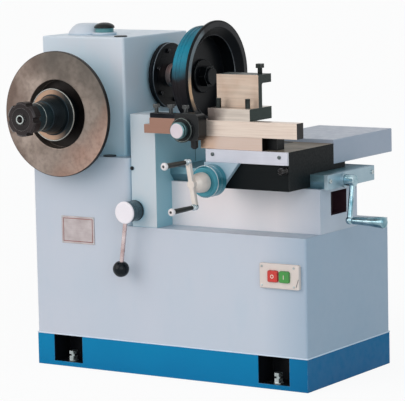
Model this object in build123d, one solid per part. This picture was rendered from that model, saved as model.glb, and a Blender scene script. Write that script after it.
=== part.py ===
from build123d import *
import math
import os

# Brake lathe with two spindles at right angles: a disc on the front spindle, a drum on the side spindle,
# and a tool slide on a bed at the right. X runs along the front, Y goes to the back, Z is up, and the
# origin is the middle of the footprint on the floor. Millimetres.

# Driving sizes: plinth and cabinet
cabinet_length = 980.0
cabinet_depth = 500.0
base_height = 100.0
cabinet_height = 356.0
cabinet_edge_radius = 8.0
tower_length = 368.0
tower_depth = 400.0
tower_height = 208.0
tower_corner_radius = 26.0
pocket_width = 108.0
pocket_depth = 84.0
pocket_from_end = 62.0
pocket_floor = 14.0
anchor_hole_radius = 9.0
anchor_offset = 34.0
anchor_inset = 36.0
level_bolt_radius = 8.0
level_bolt_inset = 27.0
level_bolt_height = 36.0
level_washer_radius = 16.0
level_nut_radius = 14.0
level_nut_height = 13.0
level_washer_height = 3.0
level_head_height = 10.0

# Driving sizes: headstock
head_length = 308.0
head_depth = 356.0
head_height = 362.0
head_side_inset = 14.0
head_front_inset = 44.0
head_edge_radius = 9.0
head_top_radius = 4.5
lid_bottom_radius = 62.0
lid_top_radius = 36.0
lid_height = 33.0
lid_from_left = 86.0
lid_from_front = 128.0
lid_edge_radius = 6.0
filler_boss_radius = 38.0
filler_boss_height = 8.0
filler_radius = 32.0
filler_height = 17.0
filler_dome = 13.0
filler_from_right = 144.0
filler_from_front = 106.0
plug_radius = 20.0
plug_height = 4.0
plug_inset = 30.0
ledge_plug_inset = 45.0
plug_bevel = 1.0

# Driving sizes: feed box, bed and way
feed_box_width = 91.0
feed_box_front_gap = 2.0
feed_box_depth = 358.0
feed_box_rise = 135.0
feed_box_front_part = 118.0
feed_box_rear_rise = 66.0
bed_front_inset = 86.0
bed_depth = 219.0
bed_height = 134.0
bed_pocket_depth = 50.0
bed_pocket_width = 94.0
bed_pocket_height = 70.0
bed_pocket_top_web = 14.0
way_depth = 280.0
way_height = 44.0
way_edge_height = 20.0
way_front_reach = 6.0
way_overhang = 30.0
way_undercut = 20.0
way_end_thickness = 12.0

# Driving sizes: front spindle, all lengths outward from the headstock's front
front_axis_from_left = 140.0
front_axis_rise = 134.0
front_shaft_radius = 34.0
front_shaft_length = 302.0
front_shaft_tail = 90.0
front_tip_radius = 17.0
front_tip_length = 6.0
centre_radius = 10.0
centre_bottom_radius = 2.0
centre_depth = 10.0
front_cap_radius = 92.0
front_cap_thickness = 18.0
disc_radius = 192.0
disc_thickness = 14.0
disc_face = 124.0
hat_radius = 105.0
hat_wall = 6.0
hat_depth = 42.0
back_collar_radius = 62.0
clamp_flange_radius = 80.0
clamp_flange_thickness = 12.0
clamp_flange_face = 143.0
clamp_cone_radius = 60.0
clamp_nose_radius = 46.0
clamp_nose = 199.0
spacer_radius = 44.0
spacer_groove = 2.0
nut_radius = 52.0
nut_thickness = 36.0
nut_notch_radius = 9.0
nut_notches = 6
nut_back_bevel = 3.0
nut_front_bevel = 5.0

# Driving sizes: side spindle, all lengths outward from the headstock's right side
side_axis_from_front = 211.0
side_axis_rise = 233.0
side_shaft_radius = 26.0
side_shaft_tail = 80.0
side_cap_radius = 70.0
side_cap_thickness = 8.0
flange_radius = 101.0
flange_start = 14.0
flange_thickness = 18.0
flange_groove = 3.0
side_hub_radius = 34.0
drum_back = 131.0
drum_radius = 154.0
drum_length = 73.0
drum_web = 12.0
drum_band_radius = 172.0
drum_band_width = 8.0
drum_mouth_radius = 150.0
drum_bore_radius = 126.0
drum_mouth_depth = 18.0
drum_ribs = 2
drum_rib_height = 3.0
drum_rib_width = 5.0
drum_rib_first = 14.0
drum_rib_pitch = 12.0
drum_corner = 6.0
washer_radius = 52.0
washer_thickness = 10.0
side_nut_width = 60.0
side_nut_thickness = 24.0
side_tip_length = 8.0

# Driving sizes: saddle and its front drive
saddle_length = 279.0
saddle_depth = 260.0
saddle_height = 77.0
saddle_from_right = 47.0
saddle_reach = 121.0
saddle_gib_drop = 38.0
saddle_foot_height = 16.0
saddle_foot_depth = 68.0
saddle_bore_depth = 20.0
plate_height = 38.0
plate_thickness = 8.0
cover_length = 261.0
cover_depth = 361.0
cover_height = 72.0
cover_edge_radius = 3.0
bracket_width = 118.0
bracket_foot_width = 62.0
bracket_height = 70.0
bracket_thickness = 10.0
screw_from_left = 31.0
screw_drop = 90.0
screw_radius = 9.0
dial_radius = 52.0
dial_length = 56.0
dial_ring_width = 10.0
dial_ring_step = 1.0
dial_bevel = 6.0
crank_hub_radius = 24.0
crank_hub_length = 50.0
crank_hub_taper = 4.0
crank_arm_thickness = 16.0
crank_arm_width = 26.0
crank_throw = 66.0
crank_tilt = 9.5
grip_radius = 8.0
grip_length = 102.0
grip_taper = 1.5
grip_ferrule_radius = 9.5
grip_ferrule_length = 10.0
grip_cap_radius = 11.5
grip_cap_length = 11.5
grip_cap_bevel = 4.0

# Driving sizes: cross slide, bars and tools
slide_foot_length = 245.0
slide_foot_depth = 40.0
slide_tail_depth = 100.0
slide_foot_height = 38.0
slide_from_left = -22.0
facing_length = 212.0
facing_thickness = 30.0
facing_front_setback = 4.0
tongue_width = 70.0
tongue_height = 24.0
tongue_flare = 10.0
tongue_length = 130.0
tongue_from_foot = 76.0
tongue_from_left = 80.0
channel_rear_wall = 12.0
bar_length = 530.0
bar_depth = 37.0
bar_height = 46.0
bar_left_reach = 220.0
bar_step_length = 20.0
bar_step_height = 26.0
strip_length = 130.0
strip_thickness = 14.0
strip_side_inset = 3.0
strip_bolt_radius = 6.0
strip_bolt_height = 26.0
strip_bolt_head = 15.0
strip_bolts_count = 3
strip_bolt_inset = 14.0
strip_bolt_pitch = 52.0
square_head_share = 0.7
head_block_length = 84.0
head_block_depth = 43.0
head_block_height = 80.0
head_block_from_left = 138.0
head_block_radius = 18.0
head_block_drop = 13.0
ring_radius = 37.0
ring_thickness = 8.0
ring_overhang = 8.0
ring_rise = 32.0
knob_radius = 25.0
knob_length = 26.0
lock_radius = 11.0
lock_length = 26.0
lock_bevel = 5.0
lock_from_left = 52.0
lock_setback = 17.0
post_length = 144.0
post_depth = 123.0
post_base_height = 36.0
post_from_left = 228.0
post_height = 96.0
post_setback = 51.0
post_neck = 20.0
post_jaw = 25.0
post_slot_radius = 6.0
post_screw_radius = 7.0
post_screw_height = 30.0
post_screw_head = 18.0
post_bolt_radius = 7.5
post_bolt_height = 28.0
post_bolt_inset = 22.0
socket_radius = 3.8
socket_depth = 6.0

# Driving sizes: bed crank
bed_screw_from_front = 98.0
bed_screw_drop = 24.0
bed_screw_radius = 10.0
bed_boss_radius = 22.0
bed_boss_length = 6.0
bed_hub_radius = 17.0
bed_hub_length = 30.0
bed_arm_offset = 21.0
bed_arm_radius = 8.0
bed_crank_throw = 118.0
bed_crank_tilt = 10.0
bed_ball_radius = 12.0
bed_ball_flat = 9.0
bed_handle_length = 112.0
bed_handle_neck_radius = 11.0
bed_handle_end_radius = 17.5
bed_handle_end_bevel = 6.0

# Driving sizes: shift lever, name plate and switch
boss_radius = 31.0
boss_length = 60.0
boss_from_left = 14.0
boss_rise = 50.0
boss_pin_radius = 10.0
boss_pin_length = 40.0
lever_radius = 6.5
lever_start = 20.0
lever_length = 176.0
lever_tilt = 8.0
lever_ball_radius = 25.0
lever_ball_flat = 3.0
lever_setback = 12.0
name_plate_length = 123.0
name_plate_height = 85.0
name_plate_thickness = 2.0
name_plate_from_left = 105.0
name_plate_top_rise = 19.0
switch_length = 135.0
switch_height = 74.0
switch_thickness = 12.0
switch_radius = 5.0
switch_from_right = 18.0
switch_top_drop = 78.0
button_size = 34.0
button_pitch = 39.0
button_proud = 8.0
button_depth = 9.0
button_travel = 4.0
button_radius = 5.0
button_from_left = 48.0

# Clearances
seat_gap = 0.3
run_gap = 0.08
button_gap = 0.5
turning_gap = 5.0
end_gap = 1.0
pick_width = 0.5

# Small edge sizes that many pieces share
edge_round = 3.0
edge_bevel = 2.0

# Places worked out from the sizes
left = -cabinet_length / 2
right = cabinet_length / 2
front = -cabinet_depth / 2
back = cabinet_depth / 2
bench_top = base_height + cabinet_height
tower_top = bench_top + tower_height
tower_right = left + tower_length
head_left = left + head_side_inset
head_right = head_left + head_length
head_front = front + head_front_inset
head_back = head_front + head_depth
head_top = tower_top + head_height
front_x = head_left + front_axis_from_left
front_z = tower_top + front_axis_rise
front_bore = front_shaft_radius + run_gap
side_y = head_front + side_axis_from_front
side_z = tower_top + side_axis_rise
side_bore = side_shaft_radius + run_gap
lid_x = head_left + lid_from_left
lid_y = head_front + lid_from_front
filler_x = head_right - filler_from_right
filler_y = head_front + filler_from_front
filler_seat = head_top + filler_boss_height
feed_front = front + feed_box_front_gap
feed_right = tower_right + feed_box_width
feed_back = feed_front + feed_box_depth
bed_front = front + bed_front_inset
bed_top = bench_top + bed_height
way_front = bed_front - way_front_reach
way_back = way_front + way_depth
way_top = bed_top + way_height
way_right = right + way_overhang
saddle_right = way_right - way_end_thickness - saddle_from_right
saddle_left = saddle_right - saddle_length
saddle_front = way_front - saddle_reach
saddle_back = saddle_front + saddle_depth
saddle_bottom = way_top + seat_gap
saddle_top = saddle_bottom + saddle_height
screw_x = saddle_left + screw_from_left
screw_z = saddle_top - screw_drop
bracket_front = saddle_front - plate_thickness - bracket_thickness
dial_back = bracket_front - seat_gap
crank_face = dial_back - dial_length - crank_hub_length
foot_left = saddle_left + slide_from_left
foot_front = saddle_front + facing_thickness
foot_bottom = saddle_top + seat_gap
bar_left = saddle_left - bar_left_reach
bar_bottom = foot_bottom + slide_foot_height
bar_top = bar_bottom + bar_height
bar_front = foot_front - facing_thickness - facing_front_setback
tongue_left = saddle_left + tongue_from_left
post_left = bar_left + post_from_left
post_base_top = bar_top + post_base_height
post_front = bar_front + post_setback
post_back = bar_front + post_depth
post_top = post_base_top + post_height
head_block_left = bar_left + head_block_from_left
head_block_bottom = bar_bottom - head_block_drop
ring_x = head_block_left + ring_radius - ring_overhang
ring_z = head_block_bottom + ring_rise
ring_back = bar_front - head_block_depth
bed_screw_y = way_front + bed_screw_from_front
bed_screw_z = way_top - bed_screw_drop
bed_hub_left = way_right + bed_boss_length + seat_gap
bed_arm_x = bed_hub_left + bed_arm_offset
boss_x = tower_right + boss_from_left
boss_z = bench_top + boss_rise
rod_end = lever_length - lever_ball_radius + lever_ball_flat
switch_left = right - switch_from_right - switch_length
switch_top = bench_top - switch_top_drop


def block(x0, x1, y0, y1, z0, z1):
    """A box between two corners."""
    size = Box(x1 - x0, y1 - y0, z1 - z0)
    return Pos((x0 + x1) / 2, (y0 + y1) / 2, (z0 + z1) / 2) * size


def rod_x(y, z, x0, x1, radius):
    """A round bar along X from x0 to x1."""
    turned = Rot(0, 90, 0) * Cylinder(radius, x1 - x0)
    return Pos((x0 + x1) / 2, y, z) * turned


def rod_y(x, z, y0, y1, radius):
    """A round bar along Y from y0 to y1."""
    turned = Rot(90, 0, 0) * Cylinder(radius, y1 - y0)
    return Pos(x, (y0 + y1) / 2, z) * turned


def rod_z(x, y, z0, z1, radius):
    """A round bar along Z from z0 to z1."""
    return Pos(x, y, (z0 + z1) / 2) * Cylinder(radius, z1 - z0)


def cone_y(x, z, y0, y1, radius0, radius1):
    """A round taper along Y, with radius0 at y0 and radius1 at y1."""
    turned = Rot(-90, 0, 0) * Cone(radius0, radius1, y1 - y0)
    return Pos(x, (y0 + y1) / 2, z) * turned


def edges_along(shape, axis):
    """The straight edges that run along one axis."""
    return shape.edges().filter_by(axis)


def edges_at(edges, axis, place):
    """Those of the edges that lie at a place on an axis."""
    return edges.filter_by_position(axis, place - pick_width, place + pick_width)


def base_frame():
    """Plinth with a pocket at each corner for a levelling bolt and an anchor bolt."""
    body = block(left, right, front, back, 0, base_height)
    for side_x in (-1, 1):
        for side_y_sign in (-1, 1):
            end = side_x * (right - pocket_from_end)
            inner = end - side_x * pocket_width
            face = side_y_sign * back
            deep = face - side_y_sign * pocket_depth
            x0, x1 = min(end, inner), max(end, inner)
            y0, y1 = min(face, deep), max(face, deep)
            body -= block(x0, x1, y0, y1, pocket_floor, base_height)
            bolt_x = (end + inner) / 2
            hole_x = bolt_x - side_x * anchor_offset
            hole_y = side_y_sign * (back - anchor_inset)
            bolt_y = side_y_sign * (back - level_bolt_inset)
            body -= rod_z(hole_x, hole_y, 0, pocket_floor, anchor_hole_radius)
            body -= rod_z(bolt_x, bolt_y, 0, pocket_floor, level_bolt_radius + seat_gap)
    return body


def levelling_bolts():
    """Four hexagon bolts with nut and washer, standing in the plinth's pockets."""
    bolts = []
    bolt_x = right - pocket_from_end - pocket_width / 2
    bolt_y = back - level_bolt_inset
    nut_top = pocket_floor + level_washer_height + level_nut_height
    for x in (-bolt_x, bolt_x):
        for y in (-bolt_y, bolt_y):
            bolt = rod_z(x, y, seat_gap, level_bolt_height, level_bolt_radius)
            washer_top = pocket_floor + level_washer_height
            bolt += rod_z(x, y, pocket_floor, washer_top, level_washer_radius)
            hexagon = RegularPolygon(level_nut_radius, 6)
            bolt += Pos(x, y, washer_top) * extrude(hexagon, level_nut_height)
            bolt += Pos(x, y, level_bolt_height) * extrude(hexagon, level_head_height)
            bolts.append(bolt)
    return Compound(children=bolts)


def cabinet():
    """Bench housing with the tower for the headstock at its left end, as one shell."""
    outline = Polyline(
        (left, base_height), (right, base_height), (right, bench_top),
        (tower_right, bench_top), (tower_right, tower_top), (left, tower_top), close=True)
    plane = Plane.XZ.offset(cabinet_depth / 2)
    body = extrude(plane * make_face(outline), -cabinet_depth)
    body -= block(left, tower_right, front + tower_depth, back, bench_top, tower_top)
    corner = edges_at(edges_at(edges_along(body, Axis.Z), Axis.X, tower_right), Axis.Y, front)
    body = fillet(corner, tower_corner_radius)
    upright = edges_along(body, Axis.Z)
    ends = edges_at(upright, Axis.X, left) + edges_at(upright, Axis.X, right)
    return fillet(ends, cabinet_edge_radius)


def headstock():
    """Box casting on the tower, bored for the two spindles at right angles."""
    body = block(head_left, head_right, head_front, head_back, tower_top, head_top)
    body = fillet(edges_along(body, Axis.Z), head_edge_radius)
    top = body.faces().sort_by(Axis.Z)[-1]
    body = fillet(top.edges(), head_top_radius)
    body -= rod_y(front_x, front_z, head_front, head_front + front_shaft_tail + end_gap, front_bore)
    return body - rod_x(side_y, side_z, head_right - side_shaft_tail - end_gap, head_right, side_bore)


def headstock_lid():
    """Round cover on the headstock's top, tapered, with a low boss under the filler cap."""
    cone = Cone(lid_bottom_radius, lid_top_radius, lid_height)
    body = Pos(lid_x, lid_y, head_top + lid_height / 2) * cone
    body = fillet(body.faces().sort_by(Axis.Z)[-1].edges(), lid_edge_radius)
    body += rod_z(filler_x, filler_y, head_top, filler_seat, filler_boss_radius)
    room = filler_radius + end_gap
    return body - rod_z(filler_x, filler_y, filler_seat, head_top + lid_height, room)


def filler_cap():
    """Oil filler: a short neck with a domed black cap, standing on the cover's boss."""
    neck_top = filler_seat + filler_height
    cap_top = neck_top + filler_dome
    neck = rod_z(filler_x, filler_y, filler_seat, neck_top, filler_radius - edge_bevel)
    dome_radius = (filler_radius ** 2 + filler_dome ** 2) / (2 * filler_dome)
    dome = Pos(filler_x, filler_y, cap_top - dome_radius) * Sphere(dome_radius)
    return neck + (dome & rod_z(filler_x, filler_y, neck_top, cap_top, filler_radius))


def lifting_plugs():
    """Two flat black plugs in the top corner and on the ledge below."""
    corner = (head_right - plug_inset, head_front + plug_inset, head_top)
    ledge = (head_right - ledge_plug_inset, (front + head_front) / 2, tower_top)
    plugs = []
    for x, y, z in (corner, ledge):
        plug = rod_z(x, y, z, z + plug_height, plug_radius)
        plugs.append(chamfer(plug.faces().sort_by(Axis.Z)[-1].edges(), plug_bevel))
    return Compound(children=plugs)


def feed_box():
    """Gear housing for the slide's feed, joined to the headstock behind its front part."""
    split = feed_front + feed_box_front_part
    rear_top = tower_top + feed_box_rear_rise
    body = block(tower_right, feed_right, feed_front, split, bench_top, tower_top + feed_box_rise)
    body = fillet(edges_along(body, Axis.Z).sort_by(Axis.Y)[:1], edge_round)
    body += block(tower_right, feed_right, split, feed_back, bench_top, rear_top)
    body += block(head_right, tower_right, split, feed_back, tower_top, rear_top)
    pin_bore_end = feed_front + boss_pin_length + end_gap
    return body - rod_y(boss_x, boss_z, feed_front, pin_bore_end, boss_pin_radius + run_gap)


def bed():
    """Bed casting on the bench, with an open pocket in its right end."""
    body = block(feed_right, right, bed_front, bed_front + bed_depth, bench_top, bed_top)
    middle = bed_front + bed_depth / 2
    pocket_top = bed_top - bed_pocket_top_web
    pocket = block(right - bed_pocket_depth, right, middle - bed_pocket_width / 2,
                   middle + bed_pocket_width / 2, pocket_top - bed_pocket_height, pocket_top)
    return body - pocket


def way_profile():
    """Dovetail outline of the way, wide on top and undercut below."""
    middle = way_top - way_edge_height
    return Polyline(
        (way_front, way_top), (way_back, way_top), (way_back, middle),
        (way_back - way_undercut, bed_top), (way_front + way_undercut, bed_top),
        (way_front, middle), close=True)


def bed_way():
    """Dovetail way plate along the bed."""
    end = way_right - way_end_thickness
    body = extrude(Plane.YZ * make_face(way_profile()), end - feed_right)
    return Pos(feed_right, 0, 0) * body


def way_end_plate():
    """Plate closing the way's right end, with the bearing boss for the screw."""
    x0 = way_right - way_end_thickness
    body = block(x0, way_right, way_front, way_back, bed_top, way_top)
    boss_end = way_right + bed_boss_length
    body += rod_x(bed_screw_y, bed_screw_z, way_right, boss_end, bed_boss_radius)
    return body - rod_x(bed_screw_y, bed_screw_z, x0, boss_end, bed_screw_radius + run_gap)


def front_bearing_cap():
    """Round bearing cover on the headstock's front, with its bolt ring."""
    body = rod_y(front_x, front_z, head_front - front_cap_thickness, head_front, front_cap_radius)
    body = chamfer(body.edges().sort_by(Axis.Y)[:1], edge_bevel)
    return body - rod_y(front_x, front_z, head_front - front_cap_thickness, head_front, front_bore)


def side_bearing_cap():
    """Round bearing cover on the headstock's right side."""
    body = rod_x(side_y, side_z, head_right, head_right + side_cap_thickness, side_cap_radius)
    return body - rod_x(side_y, side_z, head_right, head_right + side_cap_thickness, side_bore)


def name_plate():
    """Bare plate on the cabinet's front."""
    x0 = left + name_plate_from_left
    top = bench_top + name_plate_top_rise
    return block(x0, x0 + name_plate_length, front - name_plate_thickness, front,
                 top - name_plate_height, top)


def switch_box():
    """Switch plate with two square pockets for the push buttons."""
    body = block(switch_left, switch_left + switch_length, front - switch_thickness, front,
                 switch_top - switch_height, switch_top)
    body = fillet(edges_along(body, Axis.Y), switch_radius)
    body = chamfer(body.faces().sort_by(Axis.Y)[0].edges(), edge_bevel)
    half = button_size / 2 + button_gap
    for x in button_places():
        z = switch_top - switch_height / 2
        pocket = block(x - half, x + half, front - switch_thickness,
                       front - switch_thickness + button_depth, z - half, z + half)
        body -= fillet(edges_along(pocket, Axis.Y), button_radius + button_gap)
    return body


def button_places():
    """X of the stop and the start button."""
    first = switch_left + button_from_left
    return first, first + button_pitch


def push_button(x):
    """One square push button with bevelled edges."""
    z = switch_top - switch_height / 2
    half = button_size / 2
    face = front - switch_thickness - button_proud
    rear = front - switch_thickness + button_depth - button_travel - end_gap
    body = block(x - half, x + half, face, rear, z - half, z + half)
    body = fillet(edges_along(body, Axis.Y), button_radius)
    return chamfer(body.faces().sort_by(Axis.Y)[0].edges(), edge_bevel)


def front_shaft():
    """Front spindle shaft, stepped down to its threaded tip."""
    shoulder = head_front - front_shaft_length
    tip = shoulder - front_tip_length
    body = rod_y(front_x, front_z, shoulder, head_front + front_shaft_tail, front_shaft_radius)
    body += rod_y(front_x, front_z, tip, shoulder, front_tip_radius)
    body = chamfer(body.edges().sort_by(Axis.Y)[:1], edge_bevel)
    return body - cone_y(front_x, front_z, tip, tip + centre_depth, centre_radius, centre_bottom_radius)


def turned_y(points):
    """A solid of revolution about the front axis from (outward distance, radius) points."""
    outline = Polyline(*[(front_x + r, head_front - d) for d, r in points], close=True)
    face = make_face(Plane.XY.offset(front_z) * outline)
    return revolve(face, Axis((front_x, 0, front_z), (0, 1, 0)))


def turned_x(points):
    """A solid of revolution about the side axis from (outward distance, radius) points."""
    outline = Polyline(*[(head_right + d, side_y + r) for d, r in points], close=True)
    face = make_face(Plane.XY.offset(side_z) * outline)
    return revolve(face, Axis((0, side_y, side_z), (1, 0, 0)))


def brake_disc():
    """Brake disc with its hat dished back towards the headstock."""
    rear = disc_face - disc_thickness
    hat_rear = disc_face - hat_depth
    outer = hat_radius + hat_wall
    rim = disc_radius - edge_bevel
    return turned_y([
        (disc_face, hat_radius), (disc_face, rim), (disc_face - edge_bevel, disc_radius),
        (rear + edge_bevel, disc_radius), (rear, rim), (rear, outer),
        (hat_rear, outer), (hat_rear, front_bore), (hat_rear + hat_wall, front_bore),
        (hat_rear + hat_wall, hat_radius)])


def back_collar():
    """Spacer between the bearing cover and the disc's hat."""
    start = front_cap_thickness + turning_gap
    end = disc_face - hat_depth
    return turned_y([
        (start, front_bore), (start, back_collar_radius), (end, back_collar_radius),
        (end, front_bore)])


def clamp_cone():
    """Centring cone with a broad flange that presses the hat home."""
    start = disc_face - hat_depth + hat_wall
    flange_back = clamp_flange_face - clamp_flange_thickness
    return turned_y([
        (start, front_bore), (start, clamp_cone_radius), (flange_back, clamp_cone_radius),
        (flange_back, clamp_flange_radius), (clamp_flange_face - edge_bevel, clamp_flange_radius),
        (clamp_flange_face, clamp_flange_radius - edge_bevel), (clamp_flange_face, clamp_cone_radius),
        (clamp_nose, clamp_nose_radius), (clamp_nose, front_bore)])


def spacer_collar():
    """Plain collar between the cone and the nut, with a groove at its middle."""
    end = front_shaft_length - nut_thickness
    middle = (clamp_nose + end) / 2
    groove = spacer_radius - spacer_groove
    return turned_y([
        (clamp_nose, front_bore), (clamp_nose, spacer_radius), (middle - spacer_groove, spacer_radius),
        (middle - spacer_groove, groove), (middle + spacer_groove, groove),
        (middle + spacer_groove, spacer_radius), (end, spacer_radius), (end, front_bore)])


def round_nut():
    """Notched round nut that holds the stack."""
    start = front_shaft_length - nut_thickness
    end = front_shaft_length
    body = turned_y([
        (start, front_bore), (start, nut_radius - nut_back_bevel), (start + nut_back_bevel, nut_radius),
        (end - nut_front_bevel, nut_radius), (end, nut_radius - nut_front_bevel), (end, front_bore)])
    for index in range(nut_notches):
        angle = 2 * math.pi * index / nut_notches
        x = front_x + nut_radius * math.cos(angle)
        z = front_z + nut_radius * math.sin(angle)
        body -= rod_y(x, z, head_front - end, head_front - start, nut_notch_radius)
    return body


def side_shaft():
    """Side spindle shaft with its nut's thread stub inside the drum."""
    end = drum_back + drum_web + washer_thickness + side_nut_thickness + side_tip_length
    body = rod_x(side_y, side_z, head_right - side_shaft_tail, head_right + end, side_shaft_radius)
    return chamfer(body.edges().sort_by(Axis.X)[-1:], edge_bevel)


def side_flange():
    """Black drive flange, grooved round its rim, with the hub that carries the drum."""
    end = flange_start + flange_thickness
    middle = flange_start + flange_thickness / 2
    groove = flange_radius - flange_groove
    return turned_x([
        (flange_start, side_bore), (flange_start, flange_radius), (middle - flange_groove, flange_radius),
        (middle - flange_groove, groove), (middle + flange_groove, groove),
        (middle + flange_groove, flange_radius), (end, flange_radius), (end, side_hub_radius),
        (drum_back, side_hub_radius), (drum_back, side_bore)])


def brake_drum():
    """Brake drum with a raised band at its mouth and a ribbed outside."""
    end = drum_back + drum_length
    band = end - drum_band_width
    rib = drum_radius + drum_rib_height
    points = [(drum_back, side_bore), (drum_back, drum_radius - drum_corner),
              (drum_back + drum_corner, drum_radius)]
    for index in range(drum_ribs):
        start = drum_back + drum_rib_first + index * drum_rib_pitch
        points += [(start, drum_radius), (start, rib), (start + drum_rib_width, rib),
                   (start + drum_rib_width, drum_radius)]
    points += [
        (band, drum_radius), (band, drum_band_radius), (end - edge_bevel, drum_band_radius),
        (end, drum_band_radius - edge_bevel), (end, drum_mouth_radius),
        (end - drum_mouth_depth, drum_bore_radius), (drum_back + drum_web, drum_bore_radius),
        (drum_back + drum_web, side_bore)]
    return turned_x(points)


def drum_washer():
    """Thick washer that clamps the drum's web."""
    start = drum_back + drum_web
    end = start + washer_thickness
    return turned_x([
        (start, side_bore), (start, washer_radius), (end - edge_bevel, washer_radius),
        (end, washer_radius - edge_bevel), (end, side_bore)])


def drum_nut():
    """Hexagon nut inside the drum."""
    start = head_right + drum_back + drum_web + washer_thickness
    hexagon = RegularPolygon(side_nut_width / 2, 6, major_radius=False)
    body = extrude(Plane.YZ * hexagon, side_nut_thickness)
    body = Pos(start, side_y, side_z) * body
    return body - rod_x(side_y, side_z, start, start + side_nut_thickness, side_bore)


def saddle():
    """Saddle casting: block over the way with a dovetail channel, deep apron in front, low foot behind."""
    body = block(saddle_left, saddle_right, saddle_front, saddle_back, saddle_bottom, saddle_top)
    gib_back = way_front - seat_gap
    body += block(saddle_left, saddle_right, saddle_front, gib_back,
                  saddle_bottom - saddle_gib_drop, saddle_bottom)
    body += block(saddle_right - cover_length, saddle_right, saddle_back,
                  saddle_back + saddle_foot_depth, saddle_bottom, saddle_bottom + saddle_foot_height)
    bore_back = saddle_front + saddle_bore_depth
    body -= dovetail(seat_gap, saddle_front, saddle_back - channel_rear_wall)
    return body - rod_y(screw_x, screw_z, saddle_front, bore_back, screw_radius + run_gap)


def saddle_end_plate():
    """Bright plate screwed to the saddle's front, at its top."""
    return block(saddle_left, saddle_right, saddle_front - plate_thickness, saddle_front,
                 saddle_top - plate_height, saddle_top)


def rear_cover():
    """Sheet cover over the slide's rear end, open at the front and below the overhang."""
    bottom = saddle_bottom + saddle_foot_height
    x0 = saddle_right - cover_length
    body = block(x0, saddle_right, saddle_back, saddle_back + cover_depth, bottom, bottom + cover_height)
    top_edges = body.faces().sort_by(Axis.Z)[-1].edges()
    return fillet(top_edges.filter_by(Axis.Y), cover_edge_radius)


def screw_bracket():
    """Tapered bracket below the plate that carries the cross screw's bearing."""
    top = saddle_top - plate_height
    bottom = top - bracket_height
    outline = Polyline(
        (saddle_left, bottom), (saddle_left + bracket_foot_width, bottom),
        (saddle_left + bracket_width, top), (saddle_left, top), close=True)
    depth = plate_thickness + bracket_thickness
    body = extrude(Plane.XZ.offset(-saddle_front) * make_face(outline), depth)
    return body - rod_y(screw_x, screw_z, saddle_front - depth, saddle_front, screw_radius + run_gap)


def cross_dial():
    """Graduated dial drum on the cross screw, with a step at its front edge."""
    dial_front = dial_back - dial_length
    step = dial_front + dial_ring_width
    ring_radius_back = dial_radius - dial_ring_step
    body = rod_y(screw_x, screw_z, step, dial_back, dial_radius)
    body += cone_y(screw_x, screw_z, dial_front, step, dial_radius - dial_bevel, ring_radius_back)
    screw_end = saddle_front + saddle_bore_depth - end_gap
    return body + rod_y(screw_x, screw_z, dial_back, screw_end, screw_radius)


def crank_end(sign, y):
    """Centre of one end of the two-handled crank, at the depth y."""
    angle = math.radians(crank_tilt)
    return Vector(screw_x - sign * crank_throw * math.sin(angle), y,
                  screw_z + sign * crank_throw * math.cos(angle))


def cross_crank():
    """Bar crank: tapered hub and a flat arm with round ends."""
    hub_back = crank_face + crank_hub_length
    nose = crank_hub_radius - crank_hub_taper
    body = cone_y(screw_x, screw_z, crank_face, hub_back, nose, crank_hub_radius)
    slot = SlotCenterToCenter(2 * crank_throw, crank_arm_width)
    arm = extrude(Plane.XZ * Rot(0, 0, 90 + crank_tilt) * slot, crank_arm_thickness)
    return body + Pos(screw_x, crank_face, screw_z) * arm


def crank_grips():
    """The crank's two turned grips, each with a bright ferrule at the arm."""
    grips = []
    arm_front = crank_face - crank_arm_thickness
    for sign in (1, -1):
        end = crank_end(sign, arm_front)
        ferrule_end = arm_front - grip_ferrule_length
        grip = rod_y(end.X, end.Z, ferrule_end, arm_front, grip_ferrule_radius)
        grip += cone_y(end.X, end.Z, ferrule_end - grip_length, ferrule_end, grip_radius,
                       grip_radius - grip_taper)
        grips.append(grip)
    return Compound(children=grips)


def grip_caps():
    """White caps on the outer ends of the crank's grips."""
    caps = []
    start = crank_face - crank_arm_thickness - grip_ferrule_length - grip_length
    for sign in (1, -1):
        end = crank_end(sign, start)
        cap = rod_y(end.X, end.Z, start - grip_cap_length, start, grip_cap_radius)
        caps.append(chamfer(cap.edges().sort_by(Axis.Y)[:1], grip_cap_bevel))
    return Compound(children=caps)


def dovetail(clearance, y0, y1):
    """Dovetail prism along Y, wider below, its top level with the saddle's and its sides grown."""
    x0 = tongue_left - clearance
    x1 = tongue_left + tongue_width + clearance
    bottom = saddle_top - tongue_height - clearance
    outline = Polyline(
        (x0, saddle_top), (x1, saddle_top), (x1 + tongue_flare, bottom), (x0 - tongue_flare, bottom),
        close=True)
    return extrude(Plane.XZ.offset(-y1) * make_face(outline), y1 - y0)


def slide_foot():
    """Cast foot of the cross slide, with a tail over its dovetail tongue in the saddle's channel."""
    body = block(foot_left, foot_left + slide_foot_length, foot_front, foot_front + slide_foot_depth,
                 foot_bottom, bar_bottom)
    tongue_front = foot_front + tongue_from_foot
    body += dovetail(0, tongue_front, tongue_front + tongue_length)
    tail_back = foot_front + slide_tail_depth
    tongue_right = tongue_left + tongue_width
    body += block(tongue_left, tongue_right, foot_front, tail_back, foot_bottom, bar_bottom)
    return body + block(tongue_left, tongue_right, tongue_front, tail_back, saddle_top, foot_bottom)


def slide_facing():
    """Lower bar on the foot's front, under the tool bar."""
    return block(foot_left, foot_left + facing_length, foot_front - facing_thickness,
                 foot_front, foot_bottom, bar_bottom)


def tool_bar():
    """Long square bar that carries the tools, stepped at its left end."""
    body = block(bar_left, bar_left + bar_length, bar_front, bar_front + bar_depth, bar_bottom, bar_top)
    return body - block(bar_left, bar_left + bar_step_length, bar_front, bar_front + bar_depth,
                        bar_bottom + bar_step_height, bar_top)


def clamp_strip():
    """Black clamp strip on the bar's left end."""
    x0 = bar_left + bar_step_length
    return block(x0, x0 + strip_length, bar_front + strip_side_inset,
                 bar_front + bar_depth - strip_side_inset, bar_top, bar_top + strip_thickness)


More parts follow.
